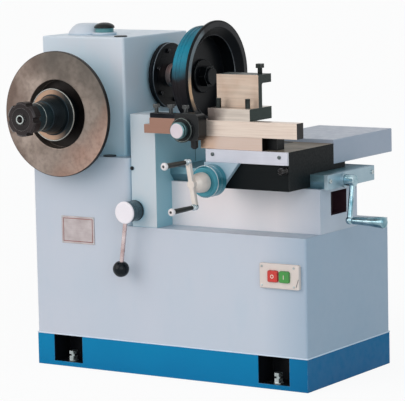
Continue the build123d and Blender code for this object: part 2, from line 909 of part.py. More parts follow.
def square_bolt(x, y, z, radius, height, head):
    """A square-headed clamp bolt standing on the surface at z."""
    bolt = rod_z(x, y, z, z + height, radius)
    half = head / 2
    head_bottom = z + height - head * square_head_share
    return bolt + block(x - half, x + half, y - half, y + half, head_bottom, z + height)


def strip_bolts():
    """Square-headed bolts on the clamp strip."""
    y = bar_front + bar_depth / 2
    first = bar_left + bar_step_length + strip_bolt_inset
    bolts = []
    for index in range(strip_bolts_count):
        bolts.append(square_bolt(first + index * strip_bolt_pitch, y, bar_top + strip_thickness,
                                 strip_bolt_radius, strip_bolt_height, strip_bolt_head))
    return Compound(children=bolts)


def cutter_head():
    """Black micrometer head on the bar's front, with its round scale ring."""
    x1 = head_block_left + head_block_length
    z1 = head_block_bottom + head_block_height
    body = block(head_block_left, x1, ring_back, bar_front, head_block_bottom, z1)
    body = fillet(edges_along(body, Axis.Y), head_block_radius)
    body += rod_y(ring_x, ring_z, ring_back - ring_thickness, ring_back, ring_radius)
    return body - rod_y(ring_x, ring_z, ring_back - ring_thickness, bar_front, screw_radius + run_gap)


def lock_screw():
    """Small locking knob under the micrometer head."""
    x = head_block_left + lock_from_left
    y = bar_front - lock_setback
    body = rod_z(x, y, head_block_bottom - lock_length, head_block_bottom, lock_radius)
    return chamfer(body.faces().sort_by(Axis.Z)[0].edges(), lock_bevel)


def micrometer_knob():
    """White feed knob with its spindle in the head."""
    back_face = ring_back - ring_thickness - seat_gap
    body = rod_y(ring_x, ring_z, back_face - knob_length, back_face, knob_radius)
    body = chamfer(body.edges().sort_by(Axis.Y)[:1], edge_bevel)
    return body + rod_y(ring_x, ring_z, back_face, bar_front - end_gap, screw_radius)


def post_base():
    """Base block of the tool post, on the bar and overhanging behind it."""
    return block(post_left, post_left + post_length, bar_front, post_back, bar_top, post_base_top)


def tool_post():
    """Tool post with a C outline: front wall and upper jaw over the tool slot."""
    outline = Polyline(
        (post_front, post_base_top), (post_front + post_neck, post_base_top),
        (post_front + post_neck, post_top - post_jaw), (post_back, post_top - post_jaw),
        (post_back, post_top), (post_front, post_top), close=True)
    body = extrude(Plane.YZ * make_face(outline), post_length)
    body = Pos(post_left, 0, 0) * body
    corner = edges_at(edges_along(body, Axis.X), Axis.Y, post_front + post_neck)
    return fillet(edges_at(corner, Axis.Z, post_top - post_jaw), post_slot_radius)


def post_bolts():
    """Cap screws that hold the post's base down on the bar."""
    y = bar_front + post_setback / 2
    bolt_top = post_base_top + post_bolt_height
    bolts = []
    for x in (post_left + post_bolt_inset, post_left + post_length - post_bolt_inset):
        bolt = rod_z(x, y, post_base_top, bolt_top, post_bolt_radius)
        bolts.append(bolt - rod_z(x, y, bolt_top - socket_depth, bolt_top, socket_radius))
    return Compound(children=bolts)


def post_screw():
    """Square-headed tool screw on the upper jaw."""
    x = post_left + post_length - post_bolt_inset
    y = (post_front + post_neck + post_back) / 2
    return square_bolt(x, y, post_top, post_screw_radius, post_screw_height, post_screw_head)


def bed_crank_end(x):
    """Centre of the crank's outer end, at the place x."""
    angle = math.radians(bed_crank_tilt)
    return Vector(x, bed_screw_y - bed_crank_throw * math.sin(angle),
                  bed_screw_z - bed_crank_throw * math.cos(angle))


def bed_crank():
    """Crank on the bed screw: hub, round arm and ball end."""
    screw_start = way_right - way_end_thickness + end_gap
    body = rod_x(bed_screw_y, bed_screw_z, screw_start, bed_hub_left, bed_screw_radius)
    body += rod_x(bed_screw_y, bed_screw_z, bed_hub_left, bed_hub_left + bed_hub_length, bed_hub_radius)
    arm = Pos(0, 0, -bed_crank_throw / 2) * Cylinder(bed_arm_radius, bed_crank_throw)
    body += Pos(bed_arm_x, bed_screw_y, bed_screw_z) * Rot(-bed_crank_tilt, 0, 0) * arm
    end = bed_crank_end(bed_arm_x)
    flat = bed_arm_x + bed_ball_flat
    cut = block(flat, flat + bed_ball_radius, end.Y - bed_ball_radius, end.Y + bed_ball_radius,
                end.Z - bed_ball_radius, end.Z + bed_ball_radius)
    return body + Pos(end) * Sphere(bed_ball_radius) - cut


def bed_handle():
    """Turned handle of the bed crank, thicker at its outer end."""
    start = bed_arm_x + bed_ball_flat
    end = bed_crank_end(start)
    turned = Rot(0, 90, 0) * Cone(bed_handle_neck_radius, bed_handle_end_radius, bed_handle_length)
    body = Pos(start + bed_handle_length / 2, end.Y, end.Z) * turned
    return chamfer(body.edges().sort_by(Axis.X)[-1:], bed_handle_end_bevel)


def lever_boss():
    """Round shift boss with its pin in the feed box."""
    boss_back = front - seat_gap
    body = rod_y(boss_x, boss_z, boss_back - boss_length, boss_back, boss_radius)
    body = chamfer(body.edges().sort_by(Axis.Y)[:1], edge_bevel)
    body += rod_y(boss_x, boss_z, boss_back, feed_front + boss_pin_length, boss_pin_radius)
    return body - lever_bar(lever_start, lever_length, lever_radius + run_gap)


def lever_place(distance):
    """A point down the lever at a distance from the boss's axis."""
    angle = math.radians(lever_tilt)
    y = front - seat_gap - boss_length + lever_setback
    return Vector(boss_x - distance * math.sin(angle), y, boss_z - distance * math.cos(angle))


def lever_bar(start, end, radius):
    """A round bar down the lever, between two distances from the boss's axis."""
    bar = Rot(0, lever_tilt, 0) * Cylinder(radius, end - start)
    return Pos(lever_place((start + end) / 2)) * bar


def lever_rod():
    """Steel rod of the shift lever, seated in the boss and on the ball's flat."""
    return lever_bar(lever_start, rod_end, lever_radius)


def lever_ball():
    """Black ball on the lever's end, with a flat where the rod is screwed in."""
    ball = Pos(lever_place(lever_length)) * Sphere(lever_ball_radius)
    return ball - lever_bar(lever_start, rod_end, lever_ball_radius)


pieces = {
    "base_frame": base_frame,
    "levelling_bolts": levelling_bolts,
    "cabinet": cabinet,
    "headstock": headstock,
    "headstock_lid": headstock_lid,
    "filler_cap": filler_cap,
    "lifting_plugs": lifting_plugs,
    "feed_box": feed_box,
    "bed": bed,
    "bed_way": bed_way,
    "way_end_plate": way_end_plate,
    "front_bearing_cap": front_bearing_cap,
    "side_bearing_cap": side_bearing_cap,
    "name_plate": name_plate,
    "switch_box": switch_box,
    "front_shaft": front_shaft,
    "brake_disc": brake_disc,
    "back_collar": back_collar,
    "clamp_cone": clamp_cone,
    "spacer_collar": spacer_collar,
    "round_nut": round_nut,
    "side_shaft": side_shaft,
    "side_flange": side_flange,
    "brake_drum": brake_drum,
    "drum_washer": drum_washer,
    "drum_nut": drum_nut,
    "saddle": saddle,
    "saddle_end_plate": saddle_end_plate,
    "rear_cover": rear_cover,
    "screw_bracket": screw_bracket,
    "cross_dial": cross_dial,
    "cross_crank": cross_crank,
    "crank_grips": crank_grips,
    "grip_caps": grip_caps,
    "slide_foot": slide_foot,
    "slide_facing": slide_facing,
    "tool_bar": tool_bar,
    "clamp_strip": clamp_strip,
    "strip_bolts": strip_bolts,
    "cutter_head": cutter_head,
    "lock_screw": lock_screw,
    "micrometer_knob": micrometer_knob,
    "post_base": post_base,
    "tool_post": tool_post,
    "post_bolts": post_bolts,
    "post_screw": post_screw,
    "bed_crank": bed_crank,
    "bed_handle": bed_handle,
    "lever_boss": lever_boss,
    "lever_rod": lever_rod,
    "lever_ball": lever_ball,
}
stop_x, start_x = button_places()
os.makedirs("parts", exist_ok=True)
for name, make in pieces.items():
    export_step(make(), f"parts/{name}.step")
export_step(push_button(stop_x), "parts/stop_button.step")
export_step(push_button(start_x), "parts/start_button.step")
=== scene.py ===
import math
import bmesh
import bpy
import numpy as np
from mathutils import Matrix, Vector


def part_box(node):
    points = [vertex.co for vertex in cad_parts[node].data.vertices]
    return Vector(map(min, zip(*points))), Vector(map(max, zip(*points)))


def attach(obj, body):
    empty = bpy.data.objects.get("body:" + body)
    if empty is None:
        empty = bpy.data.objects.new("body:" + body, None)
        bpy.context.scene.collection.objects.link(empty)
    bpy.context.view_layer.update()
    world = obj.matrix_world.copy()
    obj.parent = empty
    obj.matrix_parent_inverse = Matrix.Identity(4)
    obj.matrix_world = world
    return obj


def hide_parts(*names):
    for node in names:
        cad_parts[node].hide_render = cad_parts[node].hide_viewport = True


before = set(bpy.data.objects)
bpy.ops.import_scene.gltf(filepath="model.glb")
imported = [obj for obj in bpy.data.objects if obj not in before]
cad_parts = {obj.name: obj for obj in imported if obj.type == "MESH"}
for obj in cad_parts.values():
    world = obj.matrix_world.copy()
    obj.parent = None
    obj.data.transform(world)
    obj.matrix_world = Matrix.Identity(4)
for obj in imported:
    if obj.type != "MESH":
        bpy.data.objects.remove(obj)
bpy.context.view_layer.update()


# Studio
# The machine stands on a pale floor in a pale room. A long lens looks at it from the front right. A
# broad warm lamp shines from the front left, and a cooler one from the front right.
def joined(tree, node, sockets):
    """Gives a node's sockets their values, or joins them to other nodes' outputs."""
    for key, value in sockets.items():
        if isinstance(value, bpy.types.NodeSocket):
            tree.links.new(value, node.inputs[key])
        else:
            node.inputs[key].default_value = value


def wired(tree, kind, sockets, **settings):
    """Adds one node with its settings and sockets."""
    made = tree.nodes.new(kind)
    for key, value in settings.items():
        setattr(made, key, value)
    joined(tree, made, sockets)
    return made


def mixed(tree, factor, first, second):
    """The first colour where the factor is 0, the second where it is 1."""
    return wired(tree, "ShaderNodeMix", {0: factor, 6: first, 7: second}, data_type="RGBA").outputs[2]


def ranged(tree, value, low, high, at_low=0.0, at_high=1.0):
    """A value read between low and high, as a share from at_low to at_high."""
    return wired(tree, "ShaderNodeMapRange", {
        "Value": value, "From Min": low, "From Max": high,
        "To Min": at_low, "To Max": at_high}).outputs["Result"]


def laid(tree, body, tone, pattern, low, high, at_low=0.0, at_high=1.0):
    """A tone laid over the body by the share that a pattern gives when it is read between low and high."""
    return mixed(tree, ranged(tree, pattern, low, high, at_low, at_high), body, tone)


def sums(tree, operation, first, second):
    """Two numbers put together by one operation."""
    return wired(tree, "ShaderNodeMath", {0: first, 1: second}, operation=operation).outputs[0]


def vectors(tree, operation, *places):
    """One or two places put together by one operation, which gives a number or another place."""
    made = wired(tree, "ShaderNodeVectorMath", dict(enumerate(places)), operation=operation)
    return made.outputs["Value" if operation in ("DOT_PRODUCT", "LENGTH") else "Vector"]


def emptied(owner):
    """A world's or a material's node tree with no nodes in it."""
    owner.use_nodes = True
    owner.node_tree.nodes.clear()
    return owner.node_tree


def placed(name, data):
    """An object with this data, in the scene."""
    made = bpy.data.objects.new(name, data)
    bpy.context.scene.collection.objects.link(made)
    return made


camera_place = Vector((3.9733, -6.1489, 1.4748))
camera_turn, camera_dip, camera_roll = (math.radians(a) for a in (33.09, 7.43, -1.18))
lens_mm, frame_width_mm, frame_shift, sight = 212.1, 36.0, (0.0045, -0.0062), 200.0
ahead = Vector((-math.sin(camera_turn) * math.cos(camera_dip),
                math.cos(camera_turn) * math.cos(camera_dip), -math.sin(camera_dip)))
level_right = Vector((math.cos(camera_turn), math.sin(camera_turn), 0.0))
level_up = level_right.cross(ahead)
right_hand = math.cos(camera_roll) * level_right + math.sin(camera_roll) * level_up
upward = math.cos(camera_roll) * level_up - math.sin(camera_roll) * level_right
camera_data = bpy.data.cameras.new("camera")
camera_data.lens, camera_data.sensor_width, camera_data.clip_end = lens_mm, frame_width_mm, sight
camera_data.shift_x, camera_data.shift_y = frame_shift
camera = placed("camera", camera_data)
camera.matrix_world = Matrix.Translation(camera_place) @ Matrix(
    (right_hand, upward, -ahead)).transposed().to_4x4()
bpy.context.scene.camera = camera
bpy.context.scene.view_settings.view_transform = "Standard"

key_from, side_from = Vector((-0.45, -0.78, 0.46)).normalized(), Vector((0.62, -0.70, 0.28)).normalized()
lamp_width = math.radians(50)
for lamp_name, lamp_from, strength, tone in (("key_light", key_from, 1.15, (1.0, 0.94, 0.90)),
                                             ("side_light", side_from, 1.0, (0.78, 0.88, 0.93))):
    lamp = bpy.data.lights.new(lamp_name, "SUN")
    lamp.energy, lamp.angle, lamp.color = strength, lamp_width, tone
    placed(lamp_name, lamp).rotation_euler = lamp_from.to_track_quat("Z", "Y").to_euler()

white = (1.0, 1.0, 1.0, 1.0)
fill_near, fill_far = (0.58, 0.55, 0.55, 1.0), (0.12, 0.33, 0.42, 1.0)
room = bpy.data.worlds.new("pale_room")
bpy.context.scene.world = room
air = emptied(room)
toward_key = vectors(air, "DOT_PRODUCT", wired(air, "ShaderNodeTexCoord", {}).outputs["Generated"], key_from)
fill = laid(air, fill_far, fill_near, toward_key, -0.6, 0.5)
rays = wired(air, "ShaderNodeLightPath", {}).outputs
seen = sums(air, "MAXIMUM", rays["Is Camera Ray"], rays["Is Glossy Ray"])
seen = sums(air, "MAXIMUM", seen, rays["Is Transmission Ray"])
lit = wired(air, "ShaderNodeBackground", {"Color": mixed(air, seen, fill, white)})
wired(air, "ShaderNodeOutputWorld", {"Surface": lit.outputs[0]})

floor_half, floor_tone, floor_whitened = 60.0, (0.88, 0.88, 0.88, 1.0), 0.92
floor_mesh = bpy.data.meshes.new("floor")
floor_mesh.from_pydata([(x * floor_half, y * floor_half, 0.0) for x, y in ((-1, -1), (1, -1), (1, 1), (-1, 1))],
                       [], [(0, 1, 2, 3)])
floor_finish = bpy.data.materials.new("pale_floor")
ground_tree = emptied(floor_finish)
matt = wired(ground_tree, "ShaderNodeBsdfDiffuse", {"Color": floor_tone})
glow = wired(ground_tree, "ShaderNodeEmission", {"Color": white, "Strength": 1.0})
floor_rays = wired(ground_tree, "ShaderNodeLightPath", {}).outputs
bright = sums(ground_tree, "MAXIMUM", floor_rays["Is Camera Ray"], floor_rays["Is Glossy Ray"])
both = wired(ground_tree, "ShaderNodeMixShader", {
    0: sums(ground_tree, "MULTIPLY", bright, floor_whitened), 1: matt.outputs[0], 2: glow.outputs[0]})
wired(ground_tree, "ShaderNodeOutputMaterial", {"Surface": both.outputs[0]})
floor_mesh.materials.append(floor_finish)
placed("floor", floor_mesh)


# Plinth
# A welded plinth of steel plate, sprayed blue, with an open pocket at each corner for the floor bolts.
# A pale bead runs round its top, where the cabinet is sealed to it; its pale colour is also a painted highlight
# along that edge.
def colour(red, green, blue):
    """A colour as it looks on the screen (0 to 255), turned to linear light."""
    share = np.array([red, green, blue], float) / 255
    linear = np.where(share <= 0.04045, share / 12.92, ((share + 0.055) / 1.055) ** 2.4)
    return (*linear.tolist(), 1.0)


def blank(name):
    """A new finish: its node tree, its shader and the place on the piece that patterns are read from."""
    finish = bpy.data.materials.new(name)
    finish.use_nodes = True
    tree = finish.node_tree
    return finish, tree, tree.nodes["Principled BSDF"], wired(tree, "ShaderNodeTexCoord", {}).outputs["Object"]


def grain(tree, place, scale, detail=3.0, stretch=None):
    """Cloudy noise read at the place, drawn out by a stretch along each direction."""
    if stretch:
        place = wired(tree, "ShaderNodeMapping", {"Vector": place, "Scale": stretch}).outputs[0]
    return wired(tree, "ShaderNodeTexNoise", {"Vector": place, "Scale": scale, "Detail": detail}).outputs["Fac"]


def parts_of(tree, place):
    """A place's three distances, X, Y and Z."""
    return wired(tree, "ShaderNodeSeparateXYZ", {"Vector": place}).outputs


def softened(tree, radius):
    """The surface's direction with its edges eased, and how near an edge a place is."""
    eased = wired(tree, "ShaderNodeBevel", {"Radius": radius}, samples=4).outputs["Normal"]
    plain = wired(tree, "ShaderNodeNewGeometry", {}).outputs["Normal"]
    return eased, ranged(tree, vectors(tree, "DOT_PRODUCT", eased, plain), 0.8, 0.99, 1.0, 0.0)


def skinned(tree, shader, body, eased, relief, rough, more):
    """Gives the shader its colour, a fine relief (strength, depth, pattern) on the eased surface, a
    roughness that a pattern moves between two values, and more values."""
    pattern, least, most = rough
    sockets = {"Base Color": body, "Roughness": ranged(tree, pattern, 0.3, 0.7, least, most), **more}
    if relief:
        bump = wired(tree, "ShaderNodeBump", dict(zip(("Strength", "Distance", "Height"), relief)))
        if eased:
            joined(tree, bump, {"Normal": eased})
        sockets["Normal"] = bump.outputs[0]
    joined(tree, shader, sockets)


def enamel(name, sprayed, corner, worn=0.35, gloss=0.36, shine=0.4, deep=0.6, right_end_shade=None, shade_patch=None):
    """Sprayed machine enamel: clouded colour, painted bounce light and shade in the corners, orange-peel skin
    and rubbed edges. It can take painted shade towards the machine's right end, and a painted shade colour
    where a patch's mask is 1."""
    finish, tree, shader, place = blank(name)
    sprayed, corner = colour(*sprayed), colour(*corner)
    eased, edge = softened(tree, 0.0022)
    clouds = grain(tree, place, 3.2, 4.0)
    # The corner colour is painted bounce light and shade. It is laid more strongly where ambient occlusion
    # finds the surface shut in.
    shut_in = wired(tree, "ShaderNodeAmbientOcclusion", {"Distance": 0.14}, samples=8).outputs["AO"]
    painted_corner_light = sums(tree, "MULTIPLY", ranged(tree, shut_in, 0.85, 0.3),
                ranged(tree, clouds, 0.3, 0.7, 0.5 * deep, deep))
    body = mixed(tree, painted_corner_light, sprayed, corner)
    body = laid(tree, body, corner, clouds, 0.35, 0.75, 0.0, 0.16)
    # Painted shade: the colour deepens over the right end, where the machine's right side lies in shade.
    if right_end_shade:
        body = laid(tree, body, colour(*right_end_shade), parts_of(tree, place)["X"], 0.34, 0.50, 0.0, 0.6)
    speck = grain(tree, place, 46.0, 5.0)
    rubbed = sums(tree, "MULTIPLY", edge, ranged(tree, speck, 0.42, 0.62, 0.0, worn))
    body = mixed(tree, rubbed, body, (0.78, 0.80, 0.82, 1.0))
    body = laid(tree, body, corner, grain(tree, place, 19.0, 6.0, (1.0, 1.0, 0.35)), 0.55, 0.8, 0.0, 0.1)
    # A patch lays a painted shade colour where its mask is 1.
    if shade_patch:
        body = mixed(tree, shade_patch[0](tree, place), body, colour(*shade_patch[1]))
    skinned(tree, shader, body, eased, (0.1, 0.0004, grain(tree, place, 330.0, 2.0)),
            (speck, gloss - 0.06, gloss + 0.12), {"Specular IOR Level": shine})
    return finish


def dress(finish, *nodes):
    """Gives CAD nodes their finish."""
    for node in nodes:
        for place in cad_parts[node].material_slots:
            place.material = finish


def block_grid(low, high, radius, steps=3):
    """A box with round edges. Point (latitude i, longitude j) is the inner corner of its eighth plus the
    radius times the direction at that latitude and longitude; a row at each end closes the flat faces."""
    low, high = np.array(low, float), np.array(high, float)
    middle, inner = (low + high) / 2, (high - low) / 2 - radius
    quarter_turn = np.linspace(0, math.pi / 2, steps + 1)
    longitude = (quarter_turn + np.arange(4)[:, None] * math.pi / 2).ravel()
    quarter = np.repeat(np.arange(4) * math.pi / 2 + math.pi / 4, steps + 1)
    latitude = np.concatenate([quarter_turn - math.pi / 2, quarter_turn])[:, None]
    half = np.repeat([-1.0, 1.0], steps + 1)[:, None]
    way = np.stack(np.broadcast_arrays(np.cos(latitude) * np.cos(longitude),
                                       np.cos(latitude) * np.sin(longitude), np.sin(latitude)), -1)
    corner = np.stack(np.broadcast_arrays(np.sign(np.cos(quarter))[None], np.sign(np.sin(quarter))[None],
                                          half), -1)
    shell = middle + corner * inner + radius * way
    ends = [np.broadcast_to(middle + [0, 0, s * (inner[2] + radius)], shell[:1].shape) for s in (-1, 1)]
    return np.concatenate([ends[0], shell, ends[1]])


def piece(name, grids, finish, body, stands_for=(), sharp=38):
    """One mesh from grids of points. Each face joins four neighbours of a grid, the last column joins the
    first, points in one place are merged, and the faces are turned outwards."""
    points, faces, start = [], [], 0
    for grid in grids:
        rows, columns = grid.shape[:2]
        index = start + np.arange(rows * columns).reshape(rows, columns)
        beside = np.roll(index, -1, axis=1)
        faces.append(np.stack([index[:-1], beside[:-1], beside[1:], index[1:]], -1).reshape(-1, 4))
        points.append(grid.reshape(-1, 3))
        start += rows * columns
    mesh = bpy.data.meshes.new(name)
    mesh.from_pydata(np.vstack(points).tolist(), [], np.vstack(faces).tolist())
    worked = bmesh.new()
    worked.from_mesh(mesh)
    bmesh.ops.remove_doubles(worked, verts=worked.verts, dist=2e-6)
    bmesh.ops.dissolve_degenerate(worked, edges=worked.edges, dist=1e-7)
    bmesh.ops.recalc_face_normals(worked, faces=worked.faces)
    worked.to_mesh(mesh)
    worked.free()
    mesh.polygons.foreach_set("use_smooth", np.ones(len(mesh.polygons), bool))
    mesh.set_sharp_from_angle(angle=math.radians(sharp))
    mesh.materials.append(finish)
    made = placed(name, mesh)
    if stands_for:
        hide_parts(*stands_for)
    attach(made, body)


plinth_low, plinth_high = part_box("base_frame")
bead_out, bead_half, bead_round = 0.0018, 0.0022, 0.0016
pocket_wall = 0.0015


def shaded_pocket(tree, place):
    """1 on what lies inside the plinth's outer faces, which is each pocket's floor and walls, where near black
    is painted as shade.
    """
    parts = parts_of(tree, place)
    inside = [sums(tree, "LESS_THAN", sums(tree, "ABSOLUTE", parts[axis], 0.0), edge - pocket_wall)
              for axis, edge in (("X", plinth_high.x), ("Y", plinth_high.y))]
    return sums(tree, "MULTIPLY", *inside)


# The plinth's pockets are painted near black as shade, and its blue deepens towards the right end as painted
# shade.
dress(enamel("base_enamel", (0, 122, 168), (0, 84, 138), 0.25, 0.4, 0.12,
             right_end_shade=(0, 84, 130), shade_patch=(shaded_pocket, (14, 16, 20))), "base_frame")
piece("plinth_bead", [block_grid(
    (plinth_low.x - bead_out, plinth_low.y - bead_out, plinth_high.z - bead_half),
    (plinth_high.x + bead_out, plinth_high.y + bead_out, plinth_high.z + bead_half), bead_round)],
    enamel("bead_enamel_highlight", (206, 216, 228), (170, 205, 220), 0.1), "machine")


# Levelling bolts
# Zinc-plated hexagon bolts with nut and washer stand in the pockets, one in each. They level the
# machine on the floor.
def bright_metal(name, tone, dull, rough=0.32, lay=(1.0, 1.0, 1.0)):
    """Bare or plated metal: clouded tone, fine scratches along its lay, and brighter rubbed edges."""
    finish, tree, shader, place = blank(name)
    tone, dull = colour(*tone), colour(*dull)
    eased, edge = softened(tree, 0.0008)
    marks = grain(tree, place, 150.0, 3.0, lay)
    body = laid(tree, tone, dull, grain(tree, place, 24.0, 4.0), 0.35, 0.7)
    body = laid(tree, body, dull, marks, 0.4, 0.75, 0.0, 0.35)
    body = laid(tree, body, (0.86, 0.86, 0.86, 1.0), edge, 0.0, 1.0, 0.0, 0.45)
    skinned(tree, shader, body, eased, (0.16, 0.0003, marks), (marks, rough - 0.07, rough + 0.13),
            {"Metallic": 1.0})
    return finish


zinc = bright_metal("zinc_plate", (196, 204, 206), (128, 140, 138), 0.3)
dress(zinc, "levelling_bolts")


# Cabinet
# A housing of folded sheet steel, sprayed pale blue grey. A door held by screws closes its back, and
# pressed louvres let the motor's heat out at its left end.
def turned_grid(profile, centre, axis, steps=48, sides=0, round_off=0.0):
    """A turned surface. Point (i, j) = centre + axis * distance i + radius i * (cos a j, sin a j) across
    the axis. A third number, 0 to 1, is how far the row follows a polygon with that many sides, whose
    radius at an angle is cos(half side) / cos(angle from the middle of the side)."""
    rows = np.array([tuple(row) + (0.0,) * (3 - len(row)) for row in profile], float)
    if round_off:
        rows = eased_line(rows, round_off)
    axis = np.array(axis, float)
    across = np.array([0.0, 0.0, 1.0]) if abs(axis[2]) < 0.5 else np.array([1.0, 0.0, 0.0])
    over = np.cross(axis, across)
    angle = np.linspace(0, 2 * math.pi, steps, endpoint=False)
    flats = np.ones(steps)
    if sides:
        half = math.pi / sides
        flats = math.cos(half) / np.cos(angle % (2 * half) - half)
    reach = rows[:, 1:2] * (1 - rows[:, 2:] + rows[:, 2:] * flats)
    ring = np.cos(angle)[:, None] * across + np.sin(angle)[:, None] * over
    return np.array(centre, float) + rows[:, 0, None, None] * axis + reach[..., None] * ring


def eased_line(rows, size, steps=3):
    """Rounds the inner corners of a line: corner c between a and b becomes (1-t)^2 a + 2t(1-t) c + t^2 b,
    with one point more before and after, so that the flat faces stay flat."""
    corner, back, onward = rows[1:-1], rows[:-2] - rows[1:-1], rows[2:] - rows[1:-1]
    back_long = np.linalg.norm(back[:, :2], axis=1, keepdims=True)
    onward_long = np.linalg.norm(onward[:, :2], axis=1, keepdims=True)
    cut = np.minimum(size, 0.36 * np.minimum(back_long, onward_long))
    before, after = back / back_long * cut, onward / onward_long * cut
    t = np.linspace(0, 1, steps + 1)[None, :, None]
    arcs = ((1 - t) ** 2 * (corner + before)[:, None] + 2 * t * (1 - t) * corner[:, None]
            + t ** 2 * (corner + after)[:, None])
    bends = np.concatenate([(corner + before * 1.35)[:, None], arcs, (corner + after * 1.35)[:, None]], axis=1)
    return np.vstack([rows[:1], bends.reshape(-1, rows.shape[1]), rows[-1:]])


def cap_screws(name, places, axis, radius, height, finish, body="machine", slot="bolt_steel"):
    """Round heads with a hexagon socket, one at each place, standing out along the axis."""
    inner, sunk = radius / 2, -0.0004
    profile = [(sunk, 0, 0), (sunk, radius, 0), (height * 0.8, radius, 0), (height, radius * 0.86, 0),
               (height, inner, 1), (height * 0.35, inner, 1), (height * 0.35, 0, 1)]
    piece(name, [turned_grid(profile, place, axis, 36, 6) for place in places], finish, body)


cabinet_low, cabinet_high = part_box("cabinet")
# The cabinet's paint deepens towards its right end: painted shade on the right side.
cabinet_enamel = enamel("cabinet_enamel", (189, 195, 206), (132, 176, 196), right_end_shade=(128, 154, 176))
dress(cabinet_enamel, "cabinet")
black_oxide = bright_metal("black_oxide", (40, 42, 46), (20, 22, 26), 0.36)
door_low = Vector((-0.330, cabinet_high.y - 0.001, 0.135))
door_high = Vector((0.400, cabinet_high.y + 0.0025, 0.425))
door_inset, door_round, door_screws_across = 0.022, 0.0012, 4
piece("rear_door", [block_grid(door_low, door_high, door_round)], cabinet_enamel, "machine")
door_screws = [(x, door_high.y, z)
               for x in np.linspace(door_low.x + door_inset, door_high.x - door_inset, door_screws_across)
               for z in (door_low.z + door_inset, door_high.z - door_inset)]
large_head = (0.0065, 0.004)
cap_screws("rear_door_screws", door_screws, (0, 1, 0), *large_head, black_oxide)
louvre_length, louvre_step, louvre_first, louvres = 0.19, 0.026, 0.190, 7
louvre_deep, louvre_half_high, louvre_sunk = 0.0065, 0.008, 0.0015


def louvre_grid(middle_z):
    """A pressed louvre: half a flattened tube whose depth is sin(pi u) along it and falls off below."""
    along = np.linspace(0, 1, 29)[:, None]
    round_it = np.linspace(0, 2 * math.pi, 20, endpoint=False)[None, :]
    swell = np.sin(math.pi * along) ** 0.25
    depth = louvre_deep * swell * np.clip(np.cos(round_it * 0.5) ** 2 * 1.6, 0, 1)
    y = (along - 0.5) * louvre_length
    z = middle_z + louvre_half_high * swell * np.cos(round_it)
    x = cabinet_low.x + louvre_sunk - depth * np.clip(0.55 - 0.75 * np.cos(round_it), 0, 1)
    return np.stack(np.broadcast_arrays(x, y, z), -1)


piece("vent_louvres", [louvre_grid(louvre_first + louvre_step * n) for n in range(louvres)], cabinet_enamel,
      "machine", sharp=60)


# Name plate
# A thin etched plate, left bare. A narrow border is raised on it, and four small rivets hold it to
# the cabinet.
def inset(low, high, left_in, right_in, level_in):
    """The four places (x, z) that lie inside a rectangle's corners."""
    return [(x, z) for x in (low.x + left_in, high.x - right_in) for z in (low.z + level_in, high.z - level_in)]


outward = (0, -1, 0)
plate_low, plate_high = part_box("name_plate")
plate_face = plate_low.y
dress(bright_metal("name_plate_metal", (186, 178, 180), (160, 150, 150), 0.42, (0.2, 1, 6)), "name_plate")
border_in, border_wide, border_out, rivet_in = 0.006, 0.0022, 0.0007, 0.0033
x0, x1 = plate_low.x + border_in, plate_high.x - border_in
z0, z1 = plate_low.z + border_in, plate_high.z - border_in
inner_x0, inner_x1, inner_z0, inner_z1 = x0 + border_wide, x1 - border_wide, z0 + border_wide, z1 - border_wide
piece("name_plate_border", [
    block_grid((left, plate_face - border_out, bottom), (right, plate_face + border_out, top),
               border_out / 2, 2)
    for left, bottom, right, top in ((x0, z0, x1, inner_z0), (x0, inner_z1, x1, z1),
                                     (x0, inner_z0, inner_x0, inner_z1), (inner_x1, inner_z0, x1, inner_z1))],
    enamel("plate_border_paint", (150, 96, 92), (118, 78, 78), 0.3), "machine")
rivet_profile = [(-0.0004, 0), (-0.0004, 0.0024), (0.0004, 0.0023), (0.0011, 0.0014), (0.0013, 0)]
piece("name_plate_rivets", [
    turned_grid(rivet_profile, (x, plate_face, z), outward, 20, round_off=0.0003)
    for x, z in inset(plate_low, plate_high, rivet_in, rivet_in, rivet_in)], zinc, "machine")


# Switch
# A cream moulded plate, screwed to the cabinet, holds a red stop and a green start button. Each button has a
# plain moulded mark, and a dark strip at the plate's lower right corner is a painted shadow of the plate's cut
# corner.
def moulded(name, tone, deep, rough=0.34, shine=0.45):
    """Moulded plastic: even colour with faint flow clouds, a fine skin, and duller worn edges."""
    finish, tree, shader, place = blank(name)
    eased, edge = softened(tree, 0.0009)
    body = laid(tree, colour(*tone), colour(*deep), grain(tree, place, 14.0, 4.0), 0.35, 0.75, 0.0, 0.5)
    body = laid(tree, body, (0.75, 0.75, 0.75, 1.0), edge, 0.0, 1.0, 0.0, 0.18)
    fine = grain(tree, place, 260.0, 2.0)
    skinned(tree, shader, body, eased, (0.12, 0.0003, fine), (fine, rough - 0.05, rough + 0.1),
            {"Specular IOR Level": shine})
    return finish


def band_rows(back, front, inner, outer):
    """The five rows of a turned ring with a rectangular section."""
    return [(back, inner), (back, outer), (front, outer), (front, inner), (back, inner)]


